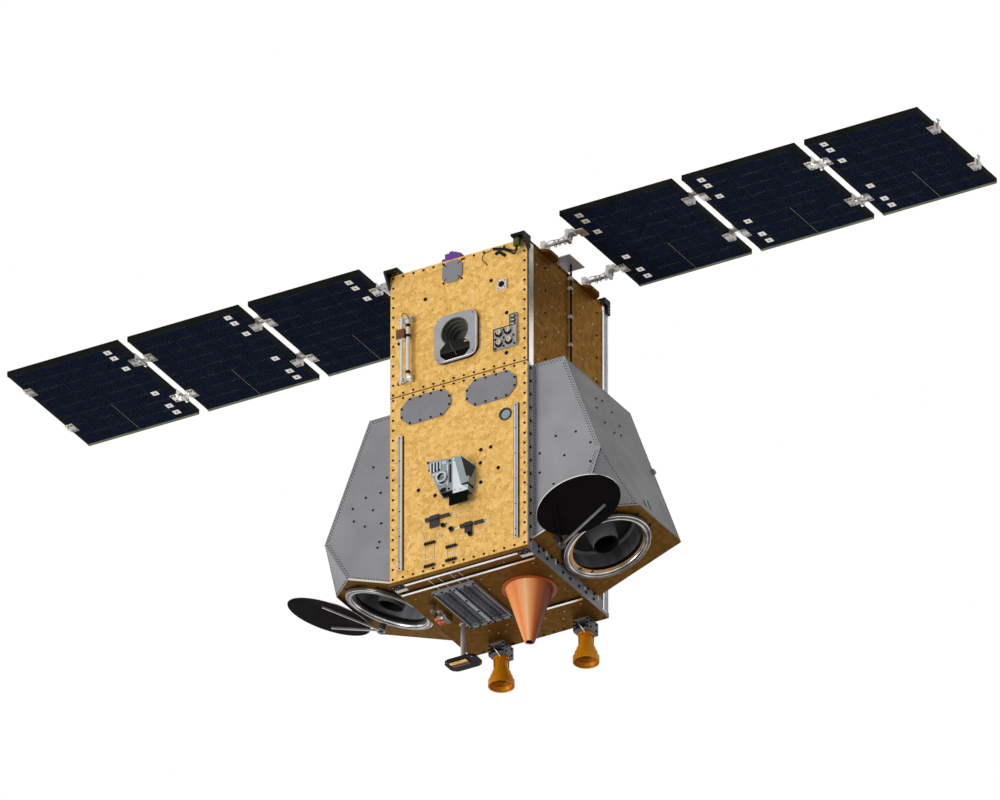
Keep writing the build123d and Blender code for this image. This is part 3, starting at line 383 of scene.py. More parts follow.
sides = ((1, "right"), (-1, "left"))
seam_z = -0.590
strip_grey = metal("strip_grey", "a9a8ae", "bcbbc2", 0.3, 0.45)
seam_painted_shadow = metal("seam_painted_shadow", "4a3008", "6a470f", 0.0, 0.5)
rail_screw = turned("rail_screw", [(6.2, -0.4), (6.2, 3), (5, 4.2), (3, 4.2), (2.7, 1.6)])
for side, word in sides:
    battens = [side_block("batten", side, 0.2995, 0.3020, -0.2990, -0.2830, seam_z, -0.112),
               side_block("batten", side, 0.2995, 0.3020, 0.2630, 0.2720, -1.388, -0.085),
               side_block("batten", side, 0.2995, 0.3020, 0.3000, 0.3085, -1.388, -0.075)]
    fit(f"{word}_white_battens", battens, silver_tape, "white_paint")
    rails = [side_block("rail", side, 0.2995, 0.3010, -0.3095, -0.2945, -1.390, -0.596),
             side_block("rail", side, 0.2995, 0.3010, -0.2900, -0.2755, -1.390, -0.596),
             side_block("rail", side, 0.2995, 0.3008, 0.2750, 0.2995, -1.388, -0.085)]
    fit(f"{word}_grey_rails", rails, strip_grey, "grey_aluminium")
    joints = [side_block("joint", side, 0.2990, 0.3006, -0.2950, -0.2895, -1.390, -0.596),
              side_block("joint", side, 0.2990, 0.3007, 0.2715, 0.2755, -1.388, -0.085)]
    fit(f"{word}_rail_joints", joints)
    mount(side_block(f"{word}_dark_seal", side, 0.2994, 0.3012, -0.3090, -0.2990, seam_z, -0.060))
    places = along((side * 0.3008, -0.2885, -0.612), (side * 0.3008, -0.2885, -1.362), 14)
    fasten(f"{word}_rail_screws", rail_screw, places, (side, 0, 0))
    places = along((side * 0.3008, 0.288, -0.100), (side * 0.3008, 0.288, -1.376), 31)
    fasten(f"{word}_back_rail_screws", vent_hole, places, (side, 0, 0))
# A dark strip along the seam between the two front panels: painted shadow in the gap.
mount(block("panel_seam_shadow", (-0.2990, -0.3099, -0.5885), (0.2990, -0.3090, -0.5835), 0), seam_painted_shadow, "brown_foil")
discard(vent_hole)


# Studs and screws of the side blankets.
# Pale snap studs pin the film to the honeycomb panel. Black screws hold the panel in two rows and
# along the deck's edge.
bare_metal = metal("bare_metal", "8f8c88", "e2dfda", 0.75, 0.30)
pale_stud = turned("pale_stud", [(3, -0.3), (3, 1), (2, 1.8)], 8)
side_studs = [
    (-235, -130), (-150, -110), (-60, -125), (40, -118), (120, -140), (190, -180), (-220, -230), (-120, -260),
    (-20, -240), (90, -262), (200, -262), (-240, -350), (-160, -372), (-70, -345), (30, -390), (110, -372),
    (215, -405), (-200, -455), (-90, -470), (10, -450), (100, -480), (180, -470), (-230, -545), (-130, -560),
    (-30, -570), (60, -548), (150, -566), (225, -520), (-180, -175), (150, -330),
]
for side, word in sides:
    places = [(side * 0.298, y / 1000, z / 1000) for y, z in side_studs]
    fasten(f"{word}_side_studs", pale_stud, places, (side, 0, 0), bare_metal, "bare_metal")
    places = along((side * 0.300, -0.252, -0.056), (side * 0.300, 0.252, -0.056), 9)
    fasten(f"{word}_deck_screws", black_screw, places, (side, 0, 0))
    places = [(side * 0.298, y, z) for y in (-0.168, 0.224) for z in (-0.112, -0.212, -0.310, -0.415, -0.512)]
    fasten(f"{word}_side_screws", black_screw, places, (side, 0, 0))


# Star tracker.
# A cast plate with four screws round a stepped dark baffle. Its side walls are painted black as painted
# shade, and its bevel and a thin bright line along its right and lower edges are painted highlights.
# A black flap hangs over the bay below it, held by a bent wire clip. The bay's floor is painted black
# as painted shade, and a small gold block beside the flap is a painted glint.
def paint_where(name, material, test):
    """Gives some faces of a CAD node another material, picked by their centre and normal."""
    mesh = nodes[name].data
    mesh.materials.append(material)
    for face in mesh.polygons:
        if test(face.center, face.normal):
            face.material_index = len(mesh.materials) - 1


def lead(name, points, diameter, material=black_paint, slot="black_inside"):
    """A short fixed wire, round in section, on a smooth line through its points."""
    curve = bpy.data.curves.new(name, "CURVE")
    curve.dimensions = "3D"
    curve.bevel_depth = diameter / 2
    curve.bevel_resolution = 2
    curve.resolution_u = 6
    curve.use_fill_caps = True
    spline = curve.splines.new("NURBS")
    spline.points.add(len(points) - 1)
    for point, place in zip(spline.points, points):
        point.co = (*place, 1)
    spline.order_u = 3
    spline.use_endpoint_u = True
    piece = bpy.data.objects.new(name, curve)
    scene.collection.objects.link(piece)
    bpy.ops.object.select_all(action="DESELECT")
    piece.select_set(True)
    bpy.context.view_layer.objects.active = piece
    bpy.ops.object.convert(target="MESH")
    return mount(bpy.context.object, material, slot)


pale_aluminium = metal("pale_aluminium", "99989b", "aeadb1", 0.30, 0.45)
cup_black = metal("cup_black", "46473f", "5a5b53", 0.1, 0.45, specular=0.2)
lid_black = metal("lid_black", "120f0f", "1c1919", 0.0, 0.5, specular=0.004)
dress(["star_tracker_plate"], pale_aluminium)
dress(["star_tracker_baffle"], cup_black)
# The plate's side walls are painted black as painted shade, and its bevel bright as a painted highlight.
paint_where("star_tracker_plate", black_paint, lambda c, n: abs(n.y) < 0.3)
paint_where("star_tracker_plate", bare_metal, lambda c, n: 0.3 < -n.y < 0.9)
paint_where("star_tracker_baffle", black_paint, lambda c, n: c.y < -0.3255)
# The bay floor under the flap is painted near black: painted shade.
paint_where("star_tracker_baffle", lid_black, lambda c, n: c.z < -0.4550 and abs(n.y) > 0.9)
tracker_washer = turned("tracker_washer", [(7, -0.4), (7, 0.8), (5.4, 1.2), (5, -0.2)], 16)
places = [(-0.006 + x, -0.3245, -0.402 + z) for x in (-0.076, 0.076) for z in (-0.084, 0.084)]
fasten("tracker_washers", tracker_washer, places, ahead, bare_metal, "bare_metal")
fasten("tracker_screws", small_stud, places, ahead)
tracker_highlight_line = ((82.5, -330), (82.5, -400), (82.5, -462), (82.5, -498.5), (45, -498.5), (0, -498.5), (-60, -498.5))
# A thin bright line along the plate's right and lower edges: a painted highlight.
lead("tracker_edge_highlight", upright(-0.3247, tracker_highlight_line), 0.0018, silver_tape, "bare_metal")
shim_gold = metal("shim_gold", "a78a55", "ccb281", 0.5, 0.35)
# A small gold block beside the flap: a painted glint.
mount(block("flap_gold_glint", (0.034, -0.3290, -0.4400), (0.048, -0.3262, -0.4345)), shim_gold, "gold_foil")
clip_grey = metal("clip_grey", "3c382c", "57523f", 0.2, 0.4)
lead("flap_clip", [(-0.029, -0.3272, -0.424), (-0.022, -0.3290, -0.446), (-0.012, -0.3215, -0.462),
                   (-0.006, -0.3132, -0.480)], 0.0042, clip_grey, "bare_metal")
discard(tracker_washer)


# Blank covers.
# Painted plates over unused openings, each held by black screws close to its edge. Short slots at a
# slant mark the corners of the small one.
dress(["front_covers"], grey_aluminium)
small_x, small_z, wide_z = -0.027, -0.105, -0.667
places = [(small_x + x, -0.3095, small_z + z) for x in (-0.040, 0.040) for z in (-0.041, 0.041)]
for centre in (-0.143, 0.143):
    places += [(centre + x, -0.3145, wide_z + z) for x in (-0.068, -0.023, 0.023, 0.068) for z in (-0.052, 0.052)]
    places += [(centre + x, -0.3145, wide_z + z) for x in (-0.104, 0.104) for z in (-0.018, 0.018)]
fasten("cover_screws", black_screw, places, ahead)
slots = []
for x, z in ((-1, -1), (-1, 1), (1, -1), (1, 1)):
    slot = block("slot", (-0.0015, -0.3150, -0.0075), (0.0015, -0.3120, 0.0075), 0)
    slot.data.transform(Matrix.Translation((small_x + 0.030 * x, 0, small_z + 0.031 * z))
                        @ Matrix.Rotation(math.radians(45 * x * z), 4, "Y"))
    slots.append(slot)
fit("small_cover_slots", slots)


# Magnetic rod and sleeve.
# White enamelled rods in clamps. Black leads loop out of both ends, and a brown moulded block with
# the winding sits over the outer rod.
white_paint = metal("white_paint", "d6d3cc", "efece6", 0.0, 0.45)
brown_plastic = metal("brown_plastic", "5a3412", "7a4a1e", 0.0, 0.4)
dress(["magnet_bars"], bare_metal)
paint_where("magnet_bars", white_paint, lambda c, n: -0.522 < c.z < -0.276)
paint_where("magnet_bars", brown_plastic, lambda c, n: -0.353 < c.z < -0.317 and c.x < -0.2215)
tie = turned("tie", [(9.5, -6), (9.8, -4), (9.8, 4), (9.5, 6)], 16)
places = [(-0.211, -0.3295, z) for z in (-0.300, -0.345, -0.505)]
fasten("sleeve_ties", tie, places, (0, 0, 1))
clamp_screw = turned("clamp_screw", [(5, -0.4), (5, 3), (4, 4), (2.2, 4), (2, 2)], 10)
places = [(x, -0.3255, z) for x in (-0.249, -0.225, -0.201) for z in (-0.266, -0.532)]
fasten("clamp_screws", clamp_screw, places, ahead, bare_metal, "bare_metal")
lead("rod_lead_upper", [(-0.239, -0.3295, -0.262), (-0.239, -0.331, -0.246), (-0.228, -0.334, -0.240),
                        (-0.213, -0.333, -0.252), (-0.206, -0.331, -0.275)], 0.0030)
lead("rod_lead_lower", [(-0.239, -0.3295, -0.538), (-0.239, -0.331, -0.550), (-0.229, -0.333, -0.553),
                        (-0.220, -0.331, -0.545), (-0.213, -0.327, -0.541)], 0.0030)
discard(tie, clamp_screw)


# Connector bracket.
# A pale bracket with four round connectors, cream inside and black around, and a narrow strip of
# small plugs above it, with black bands of painted shadow along their left and top edges.
dress(["connector_panel"], pale_aluminium)
# Black bands along the left and top edges: painted shadow.
shadow_bands = [block("shadow_bands", (0.1570, -0.3215, -0.5120), (0.1620, -0.3098, -0.4190)),
          block("shadow_bands", (0.1620, -0.3215, -0.4240), (0.2300, -0.3098, -0.4190)),
          block("shadow_bands", (0.2255, -0.3175, -0.4190), (0.2300, -0.3098, -0.3690)),
          block("shadow_bands", (0.2300, -0.3175, -0.3730), (0.2580, -0.3098, -0.3690))]
fit("connector_painted_shadow", shadow_bands)
collar = turned("collar", [(15, -0.4), (15, 6), (13.2, 7.2), (10.8, 7.2), (10.4, 3)], 20)
insert = turned("insert", [(10.6, -0.4), (10.6, 10), (9.4, 11.2), (7, 11.2), (6.6, 6)], 20)
places = upright(-0.3215, ((183, -446), (183, -490), (222, -444), (226, -488)))
fasten("connector_collars", collar, places, ahead)
cream = metal("cream_moulding", "cfc39b", "e6ddbd", 0.0, 0.4)
places = [(x + 0.004, -0.3230, z + 0.003) for x, y, z in places]
fasten("connector_inserts", insert, places, ahead, cream, "white_paint")
places = upright(-0.3215, ((204, -468), (204, -432), (204, -504), (168, -468), (247, -468), (250, -505), (168, -508)))
fasten("connector_screws", black_screw, places, ahead)
plug_rows = (-0.384, -0.401, -0.417)
plugs = [block("plug", (0.234, -0.3215, z - 0.006), (0.253, -0.3165, z + 0.006)) for z in plug_rows]
fit("strip_plugs", plugs)
latches = [block("latch", (0.237, -0.3235, z - 0.002), (0.250, -0.3205, z + 0.002)) for z in plug_rows]
fit("strip_plug_latches", latches, white_paint, "white_paint")
discard(collar, insert)


# Sun sensor and inspection port.
# The sensor is a white block with a black window and corner screws. The port is a thin dark ring
# round a pane of bluish glass.
dress(["sun_sensors"], white_paint)
port_dark = metal("port_dark", "2b2117", "46382a", 0.1, 0.4)
paint_where("sun_sensors", port_dark, lambda c, n: c.z < -0.7)
sensor_x, sensor_z = 0.192, -0.228
window = turned("sensor_window", [(12.5, -0.4), (12.5, 2), (11.2, 3), (6.2, 3), (5.8, 1.4)], 24)
fasten("sensor_window", window, [(sensor_x, -0.3185, sensor_z)], ahead)
places = [(sensor_x + x, -0.3185, sensor_z + z) for x in (-0.0145, 0.0145) for z in (-0.0145, 0.0145)]
fasten("sensor_screws", small_stud, places, ahead)
glass_blue = metal("port_glass", "7d8fa0", "93a6b6", 0.0, 0.12, 0.6, 0.0)
pane = turned("pane", [(19, 0), (19, 1), (18, 1.4)], 32)
fasten("port_pane", pane, [(0.2092, -0.3150, -0.8020)], ahead, glass_blue, "dark_glass")
discard(window, pane)


# Cable ducts.
# Folded channels in silver tape, white at their pointed upper ends and clipped down with small
# screws. Black strips along both sides and the middle are painted shade at the folds.
dress(["cable_ducts"], metal("duct_tape", "b9b4ae", "cdc8c2", 0.9, 0.32))
duct_x = 0.253
duct_tip = turned("duct_tip", [(11, 0), (11, 5.4), (8.5, 8.8)], 3)
for side, word in sides[::-1]:
    places = [(side * duct_x, -0.3185, z) for z in (-0.775, -0.875, -0.985, -1.095, -1.205, -1.315, -1.345)]
    fasten(f"{word}_duct_screws", small_stud, places, ahead)
    # Black strips at both folded sides and along the middle fold: painted shade.
    fold_shade_strips = [side_block("fold_shade_strip", side, 0.2395, 0.2435, -0.3106, -0.3092, -1.353, -0.765, 0),
             side_block("fold_shade_strip", side, 0.2625, 0.2660, -0.3106, -0.3092, -1.353, -0.765, 0),
             side_block("fold_shade_strip", side, 0.2548, 0.2570, -0.3190, -0.3180, -1.350, -0.768, 0)]
    fit(f"{word}_duct_fold_shade", fold_shade_strips)
    fasten(f"{word}_duct_tip", duct_tip, [(side * duct_x, front_y, -0.769)], ahead, white_paint, "white_paint")
discard(duct_tip)


# Earth sensor.
# A grey machined head with ridged channels and a ring nozzle beside a peaked baffle. A dark green
# circuit board hangs out below it.
sensor_metal = metal("sensor_metal", "828c90", "a4afb3", 0.3, 0.40)
sensor_light = metal("sensor_light", "b9c3c8", "d8e0e4", 0.3, 0.35)
seat_white = metal("seat_white", "d9dcde", "eef1f3", 0.1, 0.4)
hood_painted_shade = metal("hood_painted_shade", "34383a", "484d50", 0.0, 0.45, specular=0.05)
board_green = metal("board_green", "020702", "061408", 0.0, 0.4, specular=0.02)
nozzle = Vector((-0.047, -0.3575, -1.025))
dress(["earth_sensor"], sensor_metal)
paint_where("earth_sensor", board_green, lambda c, n: c.z < -1.1005 and c.y < -0.3395)
paint_where("earth_sensor", black_paint, lambda c, n: abs(n.y) < 0.5 and (c - nozzle).length < 0.0190)
paint_where("earth_sensor", sensor_light, lambda c, n: n.y < -0.5 and (c - nozzle).length < 0.0290)
paint_where("earth_sensor", black_paint, lambda c, n: n.z < -0.9 and c.x < 0 and c.z > -1.09 and c.y < -0.3160)
# The hood's right flank and the downward faces on the right are painted dark: painted shade.
paint_where("earth_sensor", hood_painted_shade, lambda c, n: c.x > 0.010 and c.y < -0.3165
            and (n.x > 0.6 and n.y < -0.3 or n.z < -0.9))
paint_where("earth_sensor", seat_white, lambda c, n: c.x > -0.006 and -0.3468 < c.y < -0.3462)
boss = turned("boss", [(8, 0), (8, 1.6), (6, 2.4), (3, 2.4), (2.6, 1.2)], 20)
fasten("sensor_lens_boss", boss, [(nozzle.x, -0.3515, nozzle.z)], ahead, grey_aluminium, "grey_aluminium")
channels = [block("channel", (x, -0.3490, -0.988 + 0.003 * number), (x + 0.0065, -0.3450, -0.944))
            for number, x in enumerate((-0.104, -0.090, -0.076, -0.062))]
channels += [block("channel", (-0.092, -0.3482, -1.000), (-0.058, -0.3450, -0.994)),
             block("channel", (-0.030, -0.3495, -1.060), (-0.022, -0.3450, -0.965)),
             block("channel", (-0.052, -0.3480, -0.962), (-0.032, -0.3450, -0.950))]
fit("sensor_channels", channels, sensor_light, "bare_metal")
gaps = [block("gap", (x - 0.0008, -0.3468, -0.986), (x + 0.0070, -0.3450, -0.946))
        for x in (-0.0965, -0.0825, -0.0685)]
gaps += [block("gap", (-0.018, -0.3472, -1.050), (-0.012, -0.3450, -0.972)),
         block("gap", (-0.056, -0.3470, -1.084), (-0.034, -0.3450, -1.066)),
         block("gap", (-0.060, -0.3250, -1.092), (-0.030, -0.3140, -1.0855))]
fit("sensor_slots", gaps)
nozzle_ring = turned("nozzle_ring", [(27.5, -0.4), (27.5, 3), (26.2, 4.5), (23.6, 4.5), (23.6, -0.4)], 32, True)
fasten("sensor_nozzle_ring", nozzle_ring, [(nozzle.x, -0.3455, nozzle.z)], ahead, sensor_light, "bare_metal")
places = upright(-0.3455, ((-113, -938), (-18, -955), (-74, -1012), (-22, -1076), (-58, -1076), (-108, -972)))
fasten("sensor_head_screws", black_screw, places, ahead)
places = upright(-0.3155, ((64, -985), (64, -1030), (64, -1078), (-122, -950)))
fasten("sensor_foot_screws", black_screw, places, ahead)
places = upright(-0.3465, ((2, -958), (4, -1088), (30, -1092), (54, -1088)))
fasten("sensor_seat_screws", small_stud, places, ahead)
discard(boss, nozzle_ring)


# Harness.
# Black combs hold the thin silver wires apart, and the clamps and plugs are black with bright pins.
# Short pigtails leave the bay beside the top edge.
wire_silver = metal("wire_silver", "c8bfae", "f0e9dc", 0.3, 0.35)
dress(["harness_fittings"], metal("clamp_black", "1c1c1e", "343437", 0.0, 0.4))
dress(["harness_wires"], wire_silver)
teeth = [block("tooth", (x + step, -0.3195, z - 0.0075), (x + step + 0.0040, -0.3150, z + 0.0065))
         for x, z in ((-0.125, -1.268), (-0.126, -1.366), (-0.0305, -1.308), (-0.032, -1.366))
         for step in (-0.0195, -0.0105, -0.0015, 0.0075, 0.0165)]
fit("comb_teeth", teeth)
pins = [block("pin", (x - 0.005, -0.3165, z - 0.0022), (x + 0.005, -0.3115, z + 0.0022))
        for x, z in ((-0.034, -1.168), (0.114, -1.238), (-0.146, -1.167), (0.006, -1.236))]
fit("plug_pins", pins, bare_metal, "bare_metal")
ring_tie = turned("ring_tie", [(8.5, -0.4), (8.5, 4), (7.2, 5.2), (4.6, 5.2), (4.2, 1)], 14)
fasten("wire_ties", ring_tie, upright(-0.3185, ((-65, -1208), (-30, -1234), (53, -1278))), ahead)
brown_wire = metal("brown_wire", "4a3018", "6a4a2a", 0.0, 0.4)
lead("brown_pigtail", [(0.150, -0.3112, -0.062), (0.118, -0.3112, -0.064), (0.103, -0.3112, -0.076),
                       (0.103, -0.3112, -0.098), (0.126, -0.3112, -0.120)], 0.0034, brown_wire, "bare_metal")
lead("black_pigtail", [(0.176, -0.3118, -0.078), (0.186, -0.3130, -0.086), (0.194, -0.3140, -0.094),
                       (0.205, -0.3130, -0.104)], 0.0120)
lead("twin_lead", [(0.150, -0.3115, -0.056), (0.190, -0.3125, -0.064), (0.222, -0.3140, -0.082),
                   (0.246, -0.3170, -0.098), (0.262, -0.3260, -0.094), (0.268, -0.3330, -0.088)], 0.0055)
lug = turned("lug", [(7.5, -0.4), (7.5, 3), (6.2, 4), (4.2, 4), (4, 1)], 16)
fasten("pigtail_lug", lug, [(0.167, front_y, -0.082)], ahead)
discard(ring_tie, lug)


# Top corner brackets, dust caps and test plug.
# Black brackets with bright screws. The purple dust caps have finger ridges, and the green plug has a
# dark collar.
purple = metal("purple_cap", "5a2d86", "8049b0", 0.0, 0.45)
dress(["top_corner_brackets", "test_lead"], black_paint)
dress(["connector_caps"], purple)
dress(["test_plug"], metal("green_plug", "33450f", "50651c", 0.0, 0.45))
# The caps' faces towards the right are a darker purple: painted shade.
paint_where("connector_caps", metal("cap_painted_shade", "2c1046", "43206a", 0.0, 0.5), lambda c, n: n.x > 0.5)
below, above = (0, 0, -1), (0, 0, 1)
for side, word in sides:
    places = [(side * x, y, -0.050) for x in (0.262, 0.284) for y in (-0.342, -0.322)]
    fasten(f"{word}_bracket_screws", small_stud, places, below, bare_metal, "bare_metal")
    places = [(side * 0.309, y, z) for y, z in ((-0.330, -0.0455), (-0.306, -0.060), (-0.304, -0.078),
                                                (0.298, -0.060), (0.298, -0.074))]
    fasten(f"{word}_cheek_screws", small_stud, places, (side, 0, 0), bare_metal, "bare_metal")
    mount(side_block(f"{word}_bracket_bar", side, 0.252, 0.306, -0.3475, -0.3435, -0.0530, -0.0410))
ridges = [block("ridge", (-0.0500, -0.2960, -0.0105), (-0.0330, -0.2530, -0.0050)),
          block("ridge", (-0.0795, -0.2960, -0.0340), (-0.0725, -0.2530, -0.0290)),
          block("ridge", (-0.0160, -0.2960, -0.0215), (-0.0070, -0.2530, -0.0170))]
fit("cap_ridges", ridges, purple, "purple_cap")
mount(block("plug_collar", (0.2565, -0.3449, -0.0605), (0.2825, -0.3241, -0.0525), 0.0012))


# Underside of the floor.
# Amber film with pale studs, bright battens and short wires. Dark plates with screws close its front
# corners, and the side rails beside it carry heavy screws and small white tabs.
floor_z = -1.408
dress(["floor_strips"], silver_tape)
paint_where("floor_strips", black_paint, lambda c, n: n.y < -0.5)
floor_studs = [
    (-250, -265), (-150, -272), (-40, -262), (60, -270), (170, -262), (262, -200), (30, -190), (20, -110),
    (35, 40), (20, 95), (270, -80), (268, 30), (262, 160), (180, 180), (90, 190), (20, 170), (-60, 160),
    (-140, 165), (-262, 160), (-268, 30), (-262, -180), (120, 130), (-90, 205), (150, 225), (-30, 240), (-120, 200),
]
fasten("floor_studs", pale_stud, [(x / 1000, y / 1000, floor_z) for x, y in floor_studs], below,
      bare_metal, "bare_metal")
horn_spots = ((-0.163, 0.296), (0.208, 0.296))
places = along((-0.286, 0.298, floor_z), (0.286, 0.298, floor_z), 14)
places = [place for place in places if min(abs(place.x - x) for x, y in horn_spots) > 0.04]
fasten("floor_back_screws", black_screw, places, below)
for side, word in sides:
    mount(side_block(f"{word}_floor_plate", side, 0.2565, 0.2985, -0.3090, -0.2780, -1.4115, -1.4075))
    mount(side_block(f"{word}_floor_tape", side, 0.2480, 0.2985, -0.2740, -0.2560, -1.4095, -1.4077), white_paint,
          "white_paint")
    places = [(side * x, y, -1.4115) for x, y in ((0.264, -0.302), (0.278, -0.292), (0.291, -0.302), (0.291, -0.284))]
    fasten(f"{word}_floor_plate_screws", small_stud, places, below, bare_metal, "bare_metal")
    places = [(side * 0.300, y, -1.359) for y in (-0.224, -0.189, -0.128, -0.080, 0.125, 0.151, 0.197)]
    places += [(side * 0.300, y, -1.382) for y in (-0.224, -0.161, -0.040, 0.014, 0.080, 0.134, 0.193)]
    fasten(f"{word}_side_rail_screws", rail_screw, places, (side, 0, 0))
    tabs = [side_block("tab", side, 0.2995, 0.3035, y - 0.004, y + 0.004, -1.374, -1.352)
            for y in (-0.1665, -0.0985, 0.1245, 0.2235)]
    fit(f"{word}_rail_tabs", tabs, white_paint, "white_paint")
    mount(side_block(f"{word}_floor_edge", side, 0.2993, 0.3012, -0.3085, 0.3085, -1.4078, -1.3925), grey_aluminium,
          "grey_aluminium")
wires = [block("wire", (x - 0.001, -0.298, -1.4092), (x + 0.001, -0.200, -1.4077), 0)
         for x in (-0.145, -0.105, -0.052, -0.016)]
fit("floor_wires", wires, wire_silver, "bare_metal")
discard(rail_screw)


# Radiator.
# A grey frame with dark mirror strips, thin bright seams between them, a wide middle bar and black
# screws round the edge.
mirror_strips = metal("mirror_strips", "20262e", "353e49", 0.2, 0.30, 1.0, 0.02, 0.15)
dress(["radiator"], grey_aluminium)
paint_where("radiator", mirror_strips, lambda c, n: n.z < -0.5 and -1.4165 < c.z < -1.4155)
bars = [block("bar", (x, -0.1885, -1.4206), (x + 0.0065, 0.0895, -1.4199), 0) for x in (-0.1376, -0.0489)]
fit("radiator_joints", bars, mirror_strips, "dark_glass")
seams = [block("seam", (x - 0.0005, -0.1780, -1.4172), (x + 0.0005, 0.0800, -1.4158), 0)
         for x in (-0.1580, -0.1130, -0.0670, -0.0230)]
seams += [block("seam", (x, y - 0.0005, -1.4172), (x + 0.0700, y + 0.0005, -1.4158), 0)
          for y in (-0.1780, 0.0800) for x in (-0.1700, -0.0800)]
fit("radiator_seams", seams, strip_grey, "bare_metal")
mount(block("radiator_bar", (-0.0975, -0.1985, -1.4215), (-0.0825, 0.0995, -1.4160)), pale_aluminium,
      "grey_aluminium")
places = along((-0.0900, -0.188, -1.4215), (-0.0900, 0.089, -1.4215), 4)
for y in (-0.195, 0.096):
    for near in (-0.176, -0.076):
        places += along((near, y, -1.420), (near + 0.072, y, -1.420), 3)
fasten("radiator_screws", black_screw, places, below)


# Cone antenna.
# Spun from copper sheet and riveted to its flange with small copper rivets. Round the turn its colour
# is painted light and shade: bright towards the front left with a painted highlight band, and painted
# shade towards the right. The faces near the axis at the tip are dark.
cone_x, cone_y = 0.151, -0.0345
copper = metal("copper", "94461c", "b86630", 0.10, 0.40, 0.8, specular=0.2)
dark_copper = metal("dark_copper", "43180a", "5c2612", 0.1, 0.4, specular=0.15)
copper_painted_light, tree = blank_material("copper_painted_light")
place = node(tree, "ShaderNodeTexCoord").outputs["Object"]
from_axis = vectors(tree, "SUBTRACT", _0=place, _1=(cone_x, cone_y, 0))[0]
flat = vectors(tree, "MULTIPLY", _0=from_axis, _1=(1, 1, 0))[0]
heading = vectors(tree, "NORMALIZE", _0=flat)[0]
turn_share = vectors(tree, "DOT_PRODUCT", _0=heading, _1=(0.866, 0.5, 0))["Value"]
blotches = node(tree, "ShaderNodeTexNoise", Vector=heading, Scale=7.0, Detail=4.0)
spread = node(tree, "ShaderNodeMapRange", _0=maths(tree, "MULTIPLY_ADD", blotches.outputs[0], 0.35, turn_share),
              _1=-0.80, _2=1.20)
# The ramp paints a highlight band and shade round the cone: painted light.
painted_light_ramp = node(tree, "ShaderNodeValToRGB", _0=spread.outputs[0])
painted_light_ramp.color_ramp.elements[0].color = tone("ffa764")
painted_light_ramp.color_ramp.elements[1].color = tone("5c2006")
for at, code in ((0.18, "e07c40"), (0.40, "ffc890"), (0.56, "f09654"), (0.74, "b85c2a"), (0.87, "86390c")):
    painted_light_ramp.color_ramp.elements.new(at).color = tone(code)
shader = node(tree, "ShaderNodeBsdfPrincipled", Base_Color=painted_light_ramp.outputs[0], Metallic=0.12, Roughness=0.38,
              Specular_IOR_Level=0.25)
node(tree, "ShaderNodeOutputMaterial", Surface=shader.outputs[0])
dress(["cone_antenna"], copper)
paint_where("cone_antenna", copper_painted_light, lambda c, n: c.z < -1.4135)
paint_where("cone_antenna", dark_copper, lambda c, n: (c.xy - Vector((cone_x, cone_y))).length < 0.0145
            and c.z > -1.6385)
rivet = turned("rivet", [(2.3, -0.3), (2.3, 0.7), (1.5, 1.3)], 8)
places = [(cone_x + 0.099 * math.cos(a), cone_y + 0.099 * math.sin(a), -1.412)
          for a in [math.tau * number / 24 for number in range(24)]]
fasten("cone_rivets", rivet, places, below, copper, "copper")


# Patch antenna on its mast.
# A silver pole, a black rounded plate screwed at its corners, and a ceramic tile with a yellow mark
# across it.
dress(["patch_mast"], bare_metal)
paint_where("patch_mast", black_paint, lambda c, n: c.z < -1.5735)
paint_where("patch_mast", metal("tile_brown", "4a1c0c", "6a2c14", 0.1, 0.4), lambda c, n: c.z < -1.5825)
mark = [block("mark", (-0.2445, 0.0385 + 0.0060 * step, -1.5872), (-0.1695, 0.0428 + 0.0060 * step, -1.5855), 0.0004)
        for step in range(3)]
fit("patch_mark", mark, metal("yellow_patch", "cf9a3a", "f4d488", 0.6, 0.3), "orange_horn")
places = [(-0.199 + x, 0.0705 + y, -1.582) for x in (-0.055, 0.055) for y in (-0.033, 0.033)]
fasten("patch_screws", small_stud, places, below, bare_metal, "bare_metal")


# Valves and thruster.
# Orange wound coils on two valves that stick out of a dark block. A small nozzle stands beside them,
# fed by a thin bent pipe.
dress(["valves"], metal("valve_metal", "4a4038", "84786a", 0.4, 0.4))
coil_orange = metal("coil_orange", "a8330f", "d0551c", 0.1, 0.35, 1.6)
coil = turned("coil", [(7, -12), (10.8, -12), (10.8, -4), (9.6, -3.5), (9.6, 3.5),
                       (10.8, 4), (10.8, 12), (7, 12)], 20)
places = [(-0.252, y, -1.418) for y in (-0.021, 0.005)]
fasten("valve_coils", coil, places, (1, 0, 0), coil_orange, "orange_horn")
thruster = turned("thruster", [(12, -0.4), (12, 5), (7, 7), (6, 12), (13, 30), (11.8, 30), (4.5, 12.5)], 24)
fasten("thruster_nozzle", thruster, [(-0.226, -0.060, floor_z)], below, bare_metal, "bare_metal")
lead("thruster_line", [(-0.222, -0.021, -1.426), (-0.216, -0.034, -1.430), (-0.214, -0.048, -1.426),
                       (-0.220, -0.056, -1.415)], 0.0040, bare_metal, "bare_metal")
discard(coil, thruster)


